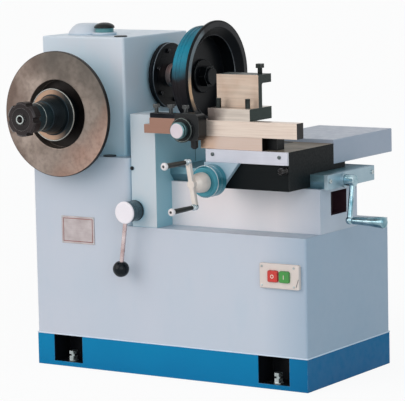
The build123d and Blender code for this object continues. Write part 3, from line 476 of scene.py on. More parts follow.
switch_low, switch_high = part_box("switch_box")
dress(moulded("switch_cream", (214, 203, 196), (196, 184, 180), 0.42), "switch_box")
dress(moulded("stop_red", (196, 52, 44), (160, 34, 30)), "stop_button")
dress(moulded("start_green", (66, 146, 66), (42, 112, 50)), "start_button")
mark_cream = moulded("mark_cream", (232, 214, 200), (214, 190, 176))
stop_low, stop_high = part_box("stop_button")
start_low, start_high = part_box("start_button")
stop_middle, start_middle = (stop_low + stop_high) / 2, (start_low + start_high) / 2
mark_out, mark_sunk, mark_round = 0.0007, 0.0004, 0.0003
ring_inner, ring_outer, bar_half_wide, bar_half_high = 0.0036, 0.0058, 0.0011, 0.006
piece("stop_mark", [turned_grid(band_rows(-mark_sunk, mark_out, ring_inner, ring_outer),
                                (stop_middle.x, stop_low.y, stop_middle.z), outward, 40, round_off=mark_round)],
      mark_cream, "stop")
piece("start_mark", [block_grid(
    (start_middle.x - bar_half_wide, start_low.y - mark_out, start_middle.z - bar_half_high),
    (start_middle.x + bar_half_wide, start_low.y + mark_sunk, start_middle.z + bar_half_high), mark_round, 2)],
    mark_cream, "start")
line_top, line_bottom = Vector((0.4700, 0.3365)), Vector((0.4622, 0.3125))
line_half_wide, line_out, line_half_long = 0.0009, 0.0005, (line_top - line_bottom).length / 2
line_middle = (line_top + line_bottom) / 2
line_turn = math.atan2(*(line_top - line_bottom))


def leaning(grid, turn, middle):
    """A grid turned from Z towards X by an angle and moved to its middle: x' = x cos + z sin."""
    across, level = math.cos(turn), math.sin(turn)
    return grid @ np.array([[across, 0, -level], [0, 1, 0], [level, 0, across]]) + middle


# The dark strip is a painted shadow under the plate's cut lower right corner.
piece("switch_corner_shadow", [leaning(
    block_grid((-line_half_wide, -line_out, -line_half_long), (line_half_wide, mark_sunk, line_half_long),
               mark_round, 2), line_turn, [line_middle.x, switch_low.y, line_middle.y])],
    moulded("corner_shadow_dark", (40, 52, 56), (22, 30, 34), 0.5), "machine")
screw_in, right_screw_in = 0.009, 0.017
cap_screws("switch_screws", [
    (x, switch_low.y, z) for x, z in inset(switch_low, switch_high, screw_in, right_screw_in, screw_in)],
    outward, 0.0034, 0.0018, zinc, slot="switch_metal")


# Headstock
# A grey-iron box casting, filled and sprayed, bored for both spindles. A tapered cover stands on
# top, with a domed filler cap on its boss, and black plugs close the lifting holes.
def stack_rows(*rows):
    """Millimetre rows of a turned profile, in metres."""
    return [tuple(v / 1000 if n < 2 else v for n, v in enumerate(row)) for row in rows]


def turned_part(name, finish, line, rows, rounding, stands_for=(), steps=128):
    """A piece turned about a line, from rows of millimetres along it and out from it, with the corners
    rounded. A line holds the places it starts from, its direction and the body that turns on it."""
    centres, axis, body = line
    piece(name, [turned_grid(stack_rows(*rows), centre, axis, steps, round_off=rounding / 1000)
                 for centre in centres], finish, body, stands_for)


upright = (0, 0, 1)
# The head's bright cyan corner colour is painted bounce light in its shaded corners.
dress(enamel("head_enamel", (208, 212, 220), (150, 218, 240), 0.4, deep=0.62), "headstock")
lid_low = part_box("headstock_lid")[0]
cap_low, cap_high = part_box("filler_cap")
lid_radius, cap_x, cap_y = 0.062, (cap_low.x + cap_high.x) / 2, (cap_low.y + cap_high.y) / 2
cone_rows = stack_rows((0, 0), (0, 62), (5, 61), (12, 57), (20, 50.5), (27, 43), (31, 36.5), (33, 29), (33, 0))
cone_place = (lid_low.x + lid_radius, lid_low.y + lid_radius, lid_low.z)
foot_rows = stack_rows((0, 0), (0, 38), (8, 38), (8, 0))
piece("headstock_lid_cast", [turned_grid(rows, place, upright, 96, round_off=0.003) for rows, place in (
    (cone_rows, cone_place), (foot_rows, (cap_x, cap_y, lid_low.z)))],
    enamel("lid_enamel", (198, 204, 212), (160, 184, 202), 0.4), "machine", ("headstock_lid",))
cap_radius, neck_radius, neck_high, dome_high, skirt = 32, 28.5, 15, 30, 2
dome_turn = np.linspace(0.03, 1, 10) * math.pi / 2
cap_rows = [(0, 0), (0, neck_radius), (neck_high - skirt, neck_radius), (neck_high - skirt, cap_radius),
            (neck_high, cap_radius)]
cap_rows += list(zip(neck_high + (dome_high - neck_high) * np.sin(dome_turn), cap_radius * np.cos(dome_turn)))
# The cap is black. Its dark teal left side and the pale teal round its lower neck are painted reflections.
lit_left, lit_right, neck_reflection_to, neck_reflection_end = 0.030, 0.004, 0.0125, 0.0132
filler_plastic, cap_tree, cap_shader, cap_place = blank("filler_cap_black")
cap_clouds, cap_parts = grain(cap_tree, cap_place, 40.0, 4.0), parts_of(cap_tree, cap_place)
cap_black_and_glints = colour(16, 54, 60)
for tone, pattern, *reading in (
        ((7, 8, 10), cap_parts["X"], cap_x - lit_left, cap_x - lit_right),
        ((92, 142, 146), cap_parts["Z"], cap_low.z + neck_reflection_to, cap_low.z + neck_reflection_end, 1.0, 0.0),
        ((40, 60, 66), cap_clouds, 0.4, 0.7, 0.0, 0.2)):
    cap_black_and_glints = laid(cap_tree, cap_black_and_glints, colour(*tone), pattern, *reading)
skinned(cap_tree, cap_shader, cap_black_and_glints, None, (0.12, 0.0003, grain(cap_tree, cap_place, 260.0, 2.0)),
        (cap_clouds, 0.26, 0.4), {"Specular IOR Level": 0.2})
turned_part("filler_cap_domed", filler_plastic, ([(cap_x, cap_y, cap_low.z)], upright, "machine"), cap_rows, 0,
            ("filler_cap",), 72)
dress(moulded("plug_black", (26, 32, 36), (14, 24, 32), 0.4), "lifting_plugs")


# Feed box
# A second casting bolted to the tower, sprayed like the headstock. A dark joint line shows on its
# right side, and a cap screw in front.
def facing(tree):
    """The direction in which the surface faces."""
    return wired(tree, "ShaderNodeTexCoord", {}).outputs["Normal"]


def shaded_right_face(tree, _):
    """A mask that is 1 on faces that look to the machine's right, where a tealer colour is painted as shade."""
    return ranged(tree, parts_of(tree, facing(tree))["X"], 0.6, 0.9, 0.0, 0.8)


feed_low, feed_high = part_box("feed_box")
# The strong teal corner colour is painted bounce light and shade, and the faces that look right take a painted
# shade colour.
dress(enamel("feed_enamel", (200, 206, 212), (40, 176, 206), 0.4, deep=0.85,
             shade_patch=(shaded_right_face, (140, 190, 204))), "feed_box")
joint_y, joint_bottom, joint_top = -0.029, 0.637, 0.728
joint_half, joint_out, joint_sunk = 0.0009, 0.0006, 0.002
piece("feed_box_joints", [block_grid(
    (feed_high.x - joint_sunk, joint_y - joint_half, joint_bottom),
    (feed_high.x + joint_out, joint_y + joint_half, joint_top), 0.0004, 2)],
    moulded("joint_dark", (30, 52, 60), (16, 36, 44), 0.6), "machine")
feed_screw_x, feed_screw_z = -0.1165, 0.634
cap_screws("feed_box_screw", [(feed_screw_x, feed_low.y, feed_screw_z)], outward, 0.006, 0.004, black_oxide)


# Bed and way
# A cast bed on the bench, sprayed pale, with a ground dovetail way on top. A plate screwed to the
# way's right end carries the feed screw's bearing.
bed_low, bed_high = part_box("bed")
pocket_mouth, pocket_deep, pocket_edge, pocket_half = 0.001, 0.052, 0.002, 0.048


def shaded_bed_pocket(tree, place):
    """1 on the walls of the open pocket in the bed's right end, where maroon is painted as shadow."""
    parts, inside = parts_of(tree, place), 1.0
    off_middle = sums(tree, "ABSOLUTE", sums(tree, "SUBTRACT", parts["Y"], (bed_low.y + bed_high.y) / 2), 0.0)
    for measure, side, limit in (
            (parts["X"], "LESS_THAN", bed_high.x - pocket_mouth),
            (parts["X"], "GREATER_THAN", bed_high.x - pocket_deep),
            (parts["Z"], "GREATER_THAN", bed_low.z + pocket_edge), (off_middle, "LESS_THAN", pocket_half),
            (parts["Z"], "LESS_THAN", bed_high.z - pocket_edge)):
        inside = sums(tree, "MULTIPLY", inside, sums(tree, side, measure, limit))
    return inside


# The bed's paint deepens towards its right end and its pocket walls turn maroon: both painted shade.
dress(enamel("bed_enamel", (242, 232, 233), (190, 212, 222), 0.25, right_end_shade=(120, 150, 174),
             shade_patch=(shaded_bed_pocket, (56, 34, 42))), "bed")


def ground(name, near, far, dark_ends_and_shade=None, rough=0.34, span=None):
    """Ground steel: fine lines along X, a slow change of tone in clouds or along a span of X, and dark ends on
    the faces that look right, partly sawn and partly painted shade."""
    finish, tree, shader, place = blank(name)
    near, far = colour(*near), colour(*far)
    eased, edge = softened(tree, 0.0008)
    lines = grain(tree, place, 260.0, 4.0, (0.03, 1.0, 1.0))
    clouds = grain(tree, place, 11.0, 4.0)
    if span:
        drift = sums(tree, "ADD", parts_of(tree, place)["X"], ranged(tree, clouds, 0.2, 0.8, -0.05, 0.05))
        body = laid(tree, near, far, drift, *span)
    else:
        body = laid(tree, near, far, clouds, 0.3, 0.7)
    body = laid(tree, body, near, lines, 0.35, 0.75, 0.0, 0.3)
    # The faces that look right are dark: partly sawn ends, partly painted shade.
    if dark_ends_and_shade:
        body = laid(tree, body, colour(*dark_ends_and_shade), parts_of(tree, facing(tree))["X"], 0.5, 0.8)
    body = laid(tree, body, (0.84, 0.82, 0.78, 1.0), edge, 0.0, 1.0, 0.0, 0.35)
    skinned(tree, shader, body, eased, (0.12, 0.0003, lines), (lines, rough - 0.06, rough + 0.12),
            {"Metallic": 0.75})
    return finish


dress(ground("way_steel", (84, 122, 132), (120, 156, 168)), "bed_way")
dress(ground("end_plate_steel", (142, 166, 178), (162, 182, 192)), "way_end_plate")
rightward, way_high = (1, 0, 0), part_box("bed_way")[1]
end_low, end_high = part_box("way_end_plate")
end_plate_thick, end_screw_in, end_screw_up = 0.012, 0.014, 0.004
cap_screws("end_plate_screws", [
    (way_high.x + end_plate_thick, y, (end_low.z + end_high.z) / 2 + end_screw_up)
    for y in (end_low.y + end_screw_in, end_high.y - end_screw_in)], rightward, *large_head, zinc)


# Bearing covers
# Flanged covers over the spindle bearings, turned from steel, each with a ring of cap screws.
front_centre, side_centre = Vector((-0.336, -0.206, 0.798)), Vector((-0.168, 0.005, 0.897))
front_line, side_line = ([front_centre], outward, "front_spindle"), ([side_centre], rightward, "side_spindle")


def round_axis(tree, place, line):
    """The arm from a line's centre to the place, the way round the line, and the distance out from it."""
    arm = vectors(tree, "SUBTRACT", place, line[0][0])
    way_round = vectors(tree, "CROSS_PRODUCT", line[1], arm)
    return arm, way_round, vectors(tree, "LENGTH", way_round)


def ring_noise(tree, distance, fine):
    """Rings: noise that changes only with one distance."""
    return wired(tree, "ShaderNodeTexNoise", {"W": distance, "Scale": fine, "Detail": 5.0},
                 noise_dimensions="1D").outputs["Fac"]


def lathe_turned(name, tone, dull, line, metallic=0.9, rough=0.36, fine=420.0, shine=0.35, bright=0.5,
                 right_side_shade=None):
    """Turned metal: rings from noise read at the distance from the axis plus the distance along it, a gloss
    drawn out round the axis, and a painted shadow colour on the right-hand side if one is given."""
    finish, tree, shader, place = blank(name)
    dull = colour(*dull)
    eased, edge = softened(tree, 0.001)
    arm, way_round, reach = round_axis(tree, place, line)
    rings = ring_noise(tree, sums(tree, "ADD", reach, vectors(tree, "DOT_PRODUCT", arm, line[1])), fine)
    body = laid(tree, colour(*tone), dull, grain(tree, place, 9.0, 5.0), 0.3, 0.72)
    body = laid(tree, body, dull, rings, 0.35, 0.75, 0.0, 0.25)
    body = laid(tree, body, (0.8, 0.8, 0.8, 1.0), edge, 0.0, 1.0, 0.0, 0.3)
    if right_side_shade:
        body = laid(tree, body, colour(*right_side_shade), parts_of(tree, arm)["X"], 0.0, 0.05)
    skinned(tree, shader, body, eased, (0.15, 0.0003, rings), (rings, rough - 0.07, rough + 0.13), {
        "Metallic": metallic, "Tangent": way_round, "Anisotropic": shine, "Specular IOR Level": bright})
    return finish


def ring_places(line, radius, distance, turn=0.0):
    """Six places spaced evenly round a line, at a distance along it."""
    angle = turn + np.arange(6) * math.pi / 3
    axis, across = np.array(line[1], float), np.array([0.0, 0.0, 1.0])
    return (np.array(line[0][0]) + axis * distance + radius * (
        np.cos(angle)[:, None] * across + np.sin(angle)[:, None] * np.cross(axis, across))).tolist()


dress(lathe_turned("front_cover_turned", (112, 120, 124), (70, 78, 84), front_line), "front_bearing_cap")
dress(lathe_turned("side_cover_turned", (70, 80, 86), (36, 44, 50), side_line), "side_bearing_cap")
front_screw_ring, front_cover_thick, side_screw_ring, side_cover_thick = 0.078, 0.018, 0.058, 0.008
cap_screws("front_cover_screws", ring_places(front_line, front_screw_ring, front_cover_thick), outward,
           *large_head, black_oxide)
cap_screws("side_cover_screws", ring_places(side_line, side_screw_ring, side_cover_thick), rightward,
           0.005, 0.0035, black_oxide)


# Front spindle
# The shaft carries the disc between a back collar and a centring cone. A plain collar and a notched
# round nut hold the stack, and the shaft's bright tip is centre-drilled.
disc_iron, disc_tree, disc_shader, disc_place = blank("disc_iron")
disc_eased = softened(disc_tree, 0.001)[0]
disc_arm, disc_round, disc_reach = round_axis(disc_tree, disc_place, front_line)
disc_rings = ring_noise(disc_tree, disc_reach, 280.0)
disc_clouds, disc_speck = grain(disc_tree, disc_place, 8.0, 6.0), grain(disc_tree, disc_place, 64.0, 6.0)
disc_tone = laid(disc_tree, colour(164, 150, 140), colour(134, 120, 111), disc_clouds, 0.38, 0.66)
disc_drift = ranged(disc_tree, disc_clouds, 0.25, 0.75, -0.06, 0.06)
# Painted sheen and shade of the turned face: darker towards the upper right and the left edge, lighter towards
# the lower right.
for sheen_direction, start, stop, share, painted_sheen_tone in (((0.60, 0.0, 0.80), 0.03, 0.17, 0.85, (78, 75, 70)),
                                          ((-1.0, 0.0, 0.1), 0.09, 0.18, 0.85, (92, 74, 66)),
                                          ((0.8, 0.0, -0.6), 0.10, 0.18, 0.35, (176, 120, 98))):
    uneven = sums(disc_tree, "ADD", vectors(disc_tree, "DOT_PRODUCT", disc_arm, sheen_direction), disc_drift)
    disc_tone = laid(disc_tree, disc_tone, colour(*painted_sheen_tone), uneven, start, stop, 0.0, share)
# The hat's recess is painted dark as shade, and the outer rim is dark.
for tone, pattern, *reading in (
        ((92, 82, 74), disc_speck, 0.45, 0.72, 0.0, 0.30), ((112, 100, 92), disc_rings, 0.4, 0.75, 0.0, 0.14),
        ((32, 27, 25), disc_reach, 0.1030, 0.1055, 1.0, 0.0), ((30, 27, 27), disc_reach, 0.1893, 0.1908)):
    disc_tone = laid(disc_tree, disc_tone, colour(*tone), pattern, *reading)
skinned(disc_tree, disc_shader, disc_tone, disc_eased, (0.18, 0.0003, disc_rings), (disc_speck, 0.36, 0.55),
        {"Metallic": 0.65, "Tangent": disc_round, "Anisotropic": 0.35})
shaft_bore, tip_out = 34.08, 308
turned_part("brake_disc_turned", disc_iron, front_line, [
    (82, shaft_bore), (88, shaft_bore), (88, 105), (124, 105), (124, 192), (110, 192), (110, 111), (82, 111),
    (82, shaft_bore)], 2.2, ("brake_disc",), 180)
turned_part("clamp_cone_turned", lathe_turned(
    "cone_steel", (46, 60, 66), (24, 32, 38), front_line, 0.85, 0.3, 260.0, 0.5), front_line, [
    (88, shaft_bore), (88, 60), (131, 60), (131, 80), (143, 80), (143, 60), (198, 46), (199, shaft_bore),
    (88, shaft_bore)], 1.6, stands_for=("clamp_cone",))
# The flange face's right side is painted dark grey: a painted shadow beside the cone.
turned_part("clamp_flange_face", lathe_turned(
    "flange_face_copper", (190, 158, 134), (140, 112, 94), front_line, 0.85, 0.34, 300.0, 0.5,
    right_side_shade=(44, 50, 52)), front_line, band_rows(142.6, 143.3, 62.5, 76.5), 0.2)
# The bright rim ring is a painted highlight on the flange's edge.
turned_part("clamp_flange_rim", lathe_turned(
    "flange_rim_highlight", (196, 196, 190), (150, 152, 148), front_line, 0.9, 0.28), front_line, [
    (140.5, 77.5), (143.4, 77.5), (143.4, 79.6), (140.5, 80.4), (140.5, 77.5)], 0.4)
turned_part("spacer_collar_turned", lathe_turned(
    "collar_steel", (56, 92, 102), (30, 44, 54), front_line, 0.85, 0.28), front_line, [
    (199, shaft_bore), (199, 44), (230.7, 44), (230.7, 42), (234.3, 42), (234.3, 44), (266, 44),
    (266, shaft_bore), (199, shaft_bore)], 0.7, stands_for=("spacer_collar",))
ring_bright = lathe_turned("ring_bright", (188, 196, 192), (140, 150, 150), front_line, 0.9, 0.24)
turned_part("collar_ring", ring_bright, front_line, band_rows(231, 234, 41.8, 44.2), 0.3)
dress(lathe_turned("nut_steel", (58, 51, 51), (26, 23, 25), front_line, 0.7, 0.36), "round_nut")
dress(lathe_turned("back_collar_steel", (52, 54, 56), (30, 32, 34), front_line), "back_collar")
dress(lathe_turned("shaft_steel", (46, 42, 42), (22, 20, 22), front_line, 0.7, 0.34), "front_shaft")
turned_part("centre_ring", ring_bright, front_line, [
    (tip_out - 1, 9.8), (tip_out + 0.5, 10.4), (tip_out + 0.5, 13.4), (tip_out - 1, 14.0), (tip_out - 1, 9.8)],
    0.4, steps=96)


# Side spindle
# A black drive flange and hub on the second shaft. The brake drum's web is clamped on it by a thick
# washer and a hexagon nut.
drum_casting, drum_tree, drum_shader, drum_place = blank("drum_casting")
drum_eased, drum_edge = softened(drum_tree, 0.0015)
drum_drift = ranged(drum_tree, grain(drum_tree, drum_place, 7.0, 5.0), 0.2, 0.8, -0.05, 0.05)
drum_reflection_height = sums(drum_tree, "ADD", parts_of(drum_tree, drum_place)["Z"], drum_drift)
drum_reach = round_axis(drum_tree, drum_place, side_line)[2]
# Painted reflection and shade: the dark casting turns teal from just above the drum's centre height upward and
# darker teal near its top. It is near black inside 141 mm, as painted shade inside the drum.
drum_tone = colour(30, 27, 30)
for tone, pattern, *reading in (
        (colour(10, 122, 146), drum_reflection_height, 0.90, 0.965), (colour(28, 70, 84), drum_reflection_height, 1.00, 1.06),
        ((0.5, 0.52, 0.5, 1.0), drum_edge, 0.0, 1.0, 0.0, 0.12),
        (colour(12, 14, 17), drum_reach, 0.141, 0.146, 1.0, 0.0)):
    drum_tone = laid(drum_tree, drum_tone, tone, pattern, *reading)
drum_fine = grain(drum_tree, drum_place, 240.0, 3.0)
skinned(drum_tree, drum_shader, drum_tone, drum_eased, (0.2, 0.0005, drum_fine), (drum_fine, 0.3, 0.45),
        {"Specular IOR Level": 0.15})
side_bore = 26.08
turned_part("brake_drum_body", drum_casting, side_line, [
    (131, side_bore), (131, 148), (137, 154), (145, 154), (145, 155.2), (150, 155.2), (150, 154), (157, 154),
    (157, 155.2), (162, 155.2), (162, 154), (195.8, 154), (195.8, 140.6), (185.8, 127.2), (143.2, 127.2),
    (143.2, side_bore), (131, side_bore)], 1.8, ("brake_drum",), 180)
# The band's inner sleeve, over the drum's inside wall, is a black sheet that stands for the shade inside the
# drum.
turned_part("brake_drum_band", lathe_turned(
    "drum_black", (15, 18, 21), (6, 8, 10), side_line, 0.0, 0.36, 260.0, 0.3, 0.08), side_line, [
    (196, 152.5), (196, 172), (204, 172), (204, 161), (202.6, 158), (204, 157.4), (204, 151), (186, 126.2),
    (144, 126.2), (144, 128), (185.2, 128), (195.4, 141.4), (196, 152.5)], 1.6, steps=180)
# Painted highlight and shade on the drum's front rim: copper above the centre and grey-blue below, dark towards
# the back, the top and the bottom.
lip_finish, lip_tree, lip_shader, lip_place = blank("drum_lip_highlight")
lip_clouds = grain(lip_tree, lip_place, 26.0, 5.0)
lip_parts = parts_of(lip_tree, vectors(lip_tree, "SUBTRACT", lip_place, side_centre))
lip_height = sums(lip_tree, "ADD", lip_parts["Z"], ranged(lip_tree, lip_clouds, 0.2, 0.8, -0.02, 0.02))
lip_tone = laid(lip_tree, colour(196, 160, 124), colour(92, 104, 110), lip_height, -0.02, 0.03)
for measure, start, stop in ((lip_parts["Y"], -0.085, -0.055), (lip_height, 0.125, 0.150),
                             (lip_height, -0.060, -0.090)):
    lip_tone = laid(lip_tree, lip_tone, colour(20, 22, 26), measure, start, stop)
skinned(lip_tree, lip_shader, lip_tone, None, None, (lip_clouds, 0.3, 0.5), {"Metallic": 0.6})
turned_part("brake_drum_lip", lip_finish, side_line, [
    (203, 151.4), (204.35, 152.4), (204.35, 167.0), (203, 168.0), (203, 151.4)], 0.4, steps=180)
# The pale ring at the drum's inner edge is a painted highlight.
turned_part("drum_bore_edge", lathe_turned(
    "bore_edge_highlight", (120, 124, 128), (52, 56, 60), side_line, 0.8, 0.3), side_line, [
    (184.6, 126.6), (184.6, 125.7), (186.8, 126.9), (186.8, 128.0), (184.6, 126.6)], 0.2,
    steps=180)
turned_part("side_flange_turned", lathe_turned(
    "flange_black", (18, 23, 28), (8, 11, 15), side_line, 0.2, 0.34, 240.0, 0.3, 0.12), side_line, [
    (14, side_bore), (14, 101), (20, 101), (20, 98), (26, 98), (26, 101), (32, 101), (32, 34), (131, 34),
    (131, side_bore), (14, side_bore)], 1.4, ("side_flange",), 144)
# The grey rim ring is a painted highlight on the black flange's front edge.
turned_part("flange_rim_ring", lathe_turned(
    "side_rim_highlight", (120, 130, 138), (70, 84, 94), side_line, 0.9, 0.3), side_line, [
    (31, 99.6), (32.3, 99.6), (32.3, 100.8), (31, 101.2), (31, 99.6)], 0.2, steps=144)
flange_screw_ring, flange_thick, flange_turn = 0.078, 0.032, 0.2
cap_screws("flange_screws", ring_places(side_line, flange_screw_ring, flange_thick, flange_turn), rightward,
           0.007, 0.006, black_oxide, "side_spindle")
# The sleeve's pinkish tone and teal clouds are a painted highlight and a painted teal reflection.
turned_part("hub_sleeve", lathe_turned("hub_sleeve_highlight", (206, 158, 150), (64, 138, 148), side_line, 0.55, 0.24),
            side_line, band_rows(32.5, 50, 33.5, 36.0), 0.6, steps=96)
dress(lathe_turned("side_shaft_steel", (16, 19, 22), (7, 9, 11), side_line, 0.0, bright=0.1),
      "side_shaft", "drum_washer", "drum_nut")


# Saddle
# A dark iron casting that slides on the way. Its top is ground, a bright plate closes its front, a
# painted bracket carries the cross screw, and a sheet cover keeps chips off behind.
def two_faced(name, outer, mottled, sides, direction, metallic, rough, lay=None, bright=0.5):
    """One clouded finish on the faces that look along a direction, another on the rest."""
    finish, tree, shader, place = blank(name)
    sides = colour(*sides)
    eased, edge = softened(tree, 0.001)
    marks = grain(tree, place, 170.0, 3.0, lay)
    top = laid(tree, colour(*outer), colour(*mottled), grain(tree, place, 16.0, 5.0), 0.35, 0.7)
    body = laid(tree, sides, top, vectors(tree, "DOT_PRODUCT", facing(tree), direction), 0.55, 0.8)
    body = laid(tree, body, sides, marks, 0.4, 0.8, 0.0, 0.2)
    body = laid(tree, body, (0.7, 0.7, 0.68, 1.0), edge, 0.0, 1.0, 0.0, 0.22)
    skinned(tree, shader, body, eased, (0.15, 0.0004, marks), (marks, rough - 0.06, rough + 0.14),
            {"Metallic": metallic, "Specular IOR Level": bright})
    return finish


dress(two_faced("saddle_iron", (140, 127, 112), (106, 97, 86), (10, 15, 17), upright, 0.0, 0.45,
                (0.1, 1, 1), 0.1), "saddle")
dress(ground("front_plate_bright", (184, 186, 196), (200, 202, 212), rough=0.38), "saddle_end_plate")
saddle_low, saddle_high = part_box("saddle")
front_plate_low, front_plate_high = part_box("saddle_end_plate")
plate_screw_left, plate_screw_right, plate_screw_up = 0.024, 0.027, 0.004
plate_screw_z = (front_plate_low.z + front_plate_high.z) / 2 + plate_screw_up
cap_screws("front_plate_screws", [
    (x, front_plate_low.y, plate_screw_z)
    for x in (front_plate_low.x + plate_screw_left, front_plate_high.x - plate_screw_right)],
    outward, 0.0055, 0.0028, bright_metal("plate_screw_steel", (110, 118, 120), (52, 62, 64), 0.34),
    "carriage", "ground_iron")
dress(enamel("bracket_enamel", (170, 184, 196), (70, 146, 166), 0.25), "screw_bracket")
dress(enamel("cover_enamel", (164, 170, 184), (150, 168, 184), 0.3), "rear_cover")
gib_in, gib_down = 0.012, 0.0155
gib_lock_rows = stack_rows((-1, 0), (-1, 11, 0), (5, 11, 0), (6.5, 9.5, 0), (12, 9.5, 0), (13, 10.5, 1),
                           (27, 10.5, 1), (29, 8.5, 1), (29, 0, 1))
gib_place = (saddle_high.x - gib_in, saddle_low.y, front_plate_low.z - gib_down)
piece("gib_lock", [turned_grid(gib_lock_rows, gib_place, outward, 48, 6)],
      bright_metal("gib_lock_metal", (70, 68, 66), (30, 30, 32), 0.3), "carriage")


# Cross screw dial and crank
# A graduated dial drum on the cross screw, and a cream two-armed crank with black grips in bright
# ferrules, each closed by a white cap.
dial_low, dial_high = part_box("cross_dial")
screw_x, screw_z = (dial_low.x + dial_high.x) / 2, (dial_low.z + dial_high.z) / 2
dial_back, dial_long, dial_radius, bevel = -0.3093, 56, 47, 10
dial_centre, dial_edge = (screw_x, dial_back, screw_z), dial_long - bevel
dial_line = ([dial_centre], outward, "cross_handle")
turned_part("cross_dial_turned", lathe_turned("dial_teal", (70, 146, 160), (40, 110, 128), dial_line, 0.4, 0.3),
            dial_line, [(-30, 0), (-30, 9), (0, 9), (0, dial_radius), (dial_edge, dial_radius),
                        (dial_edge, dial_radius - 1.2), (dial_long, dial_radius - 6), (dial_long, 0)],
            1.2, stands_for=("cross_dial",), steps=144)
dial_bright = bright_metal("dial_bright", (214, 218, 222), (170, 180, 186), 0.3)
turned_part("dial_ring", dial_bright, dial_line,
            band_rows(dial_edge - 2.2, dial_edge, dial_radius - 1, dial_radius + 0.6), 0.3, steps=144)
tick_count, tick_half, tick_start, tick_out, tick_sunk = 50, 0.00035, 0.020, 0.0003, 0.0004
tick_long = np.where(np.arange(tick_count) % 5 == 0, 0.0125, 0.007)


def tick_grid(number):
    """A raised graduation: a thin box laid on top of the drum, then turned round it by its own angle."""
    flat = block_grid((-tick_half, -tick_long[number], -tick_sunk), (tick_half, 0.0, tick_out), 0.00015, 1)
    return leaning(flat + [0, -tick_start, dial_radius / 1000], -number * 2 * math.pi / tick_count, dial_centre)


piece("dial_ticks", [tick_grid(n) for n in range(tick_count)], dial_bright, "cross_handle")
crank_cream = two_faced("crank_cream", (222, 212, 204), (206, 192, 182), (208, 198, 190), outward, 0.2, 0.34)
crank_throw, crank_tilt = 0.066, math.radians(9.5)
arm_front, arm_thick, arm_half_wide, arm_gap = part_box("crank_grips")[1].y, 0.016, 0.0072, 0.0004
arm_y = arm_front + arm_thick / 2
arm_bar = block_grid((-arm_half_wide, arm_gap - arm_thick / 2, -crank_throw),
                     (arm_half_wide, arm_thick / 2, crank_throw), 0.003)
piece("cross_crank_arm", [leaning(arm_bar, -crank_tilt, (screw_x, arm_y, screw_z))], crank_cream,
      "cross_handle", ("cross_crank",))
hub_line = ([(screw_x, dial_back - dial_long / 1000, screw_z)], outward, "cross_handle")
turned_part("cross_crank_hub", crank_cream, hub_line, [
    (0.5, 0), (0.5, 30), (22, 29), (38, 24.5), (49, 15.5), (50, 12.5), (65, 12.5), (65.7, 11), (65.7, 0)],
    3, steps=72)
grip_ends = [(screw_x - s * crank_throw * math.sin(crank_tilt), arm_front,
              screw_z + s * crank_throw * math.cos(crank_tilt)) for s in (1, -1)]
grip_line = (grip_ends, outward, "cross_handle")
turned_part("crank_grips_turned", moulded(
    "grip_black", (34, 38, 36), (18, 22, 22), 0.36, shine=0.3), grip_line, [
    (10, 0), (10, 6.2), (12, 6.6), (60, 7.4), (104, 8.0), (112, 7.6), (112, 0)], 1.2,
    ("crank_grips",), 48)
grip_chrome = bright_metal("grip_chrome", (206, 214, 218), (150, 168, 174), 0.18)
ball_radius, ball_turn = 9.5, np.linspace(0, math.pi, 13)
turned_part("crank_end_balls", grip_chrome, ([(x, arm_y, z) for x, _, z in grip_ends], outward, "cross_handle"),
            list(zip(-ball_radius * np.cos(ball_turn), ball_radius * np.sin(ball_turn))), 0,
            steps=36)
turned_part("grip_ferrules", grip_chrome, grip_line, [
    (0, 0), (0, 9.5), (4, 9.5), (5, 8.0), (8, 8.0), (10.5, 7.0), (10.5, 0)], 0.8, steps=48)
turned_part("grip_caps_domed", moulded("cap_white", (224, 218, 218), (200, 194, 196), 0.3), grip_line, [
    (111.8, 0), (111.8, 10.4), (115, 11.4), (119, 11.0), (122, 8.6), (123.2, 5.6), (123.0, 4.4), (120.5, 4.0),
    (120.5, 0)], 1.2, ("grip_caps",), 48)
cap_hollow_out = 0.1205
cap_screws("grip_screws", [(x, y - cap_hollow_out, z) for x, y, z in grip_ends], outward, 0.0036, 0.0016,
           black_oxide, "cross_handle")


# Cross slide and tool bars
# A dark foot slides in the saddle. A square bar and a lower one, both ground, stand on it, and a black
# strip with square-headed bolts clamps the left end.
dress(two_faced("foot_iron", (34, 38, 40), (34, 38, 40), (12, 15, 17), upright, 0.0, 0.42, bright=0.2),
      "slide_foot")
bar_left, lower_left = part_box("tool_bar")[0].x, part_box("slide_facing")[0].x
# The tool bar turns brown towards its left end: painted shade.
dress(ground("tool_bar_ground", (146, 112, 98), (212, 198, 186), (24, 22, 22),
             span=(bar_left + 0.11, bar_left + 0.20)), "tool_bar")
dress(ground("lower_bar_ground", (196, 160, 132), (196, 178, 168), (20, 18, 18),
             span=(lower_left - 0.02, lower_left + 0.06)), "slide_facing")
dress(black_oxide, "clamp_strip")
dress(bright_metal("strip_bolt_metal", (90, 92, 92), (34, 36, 38), 0.3), "strip_bolts")


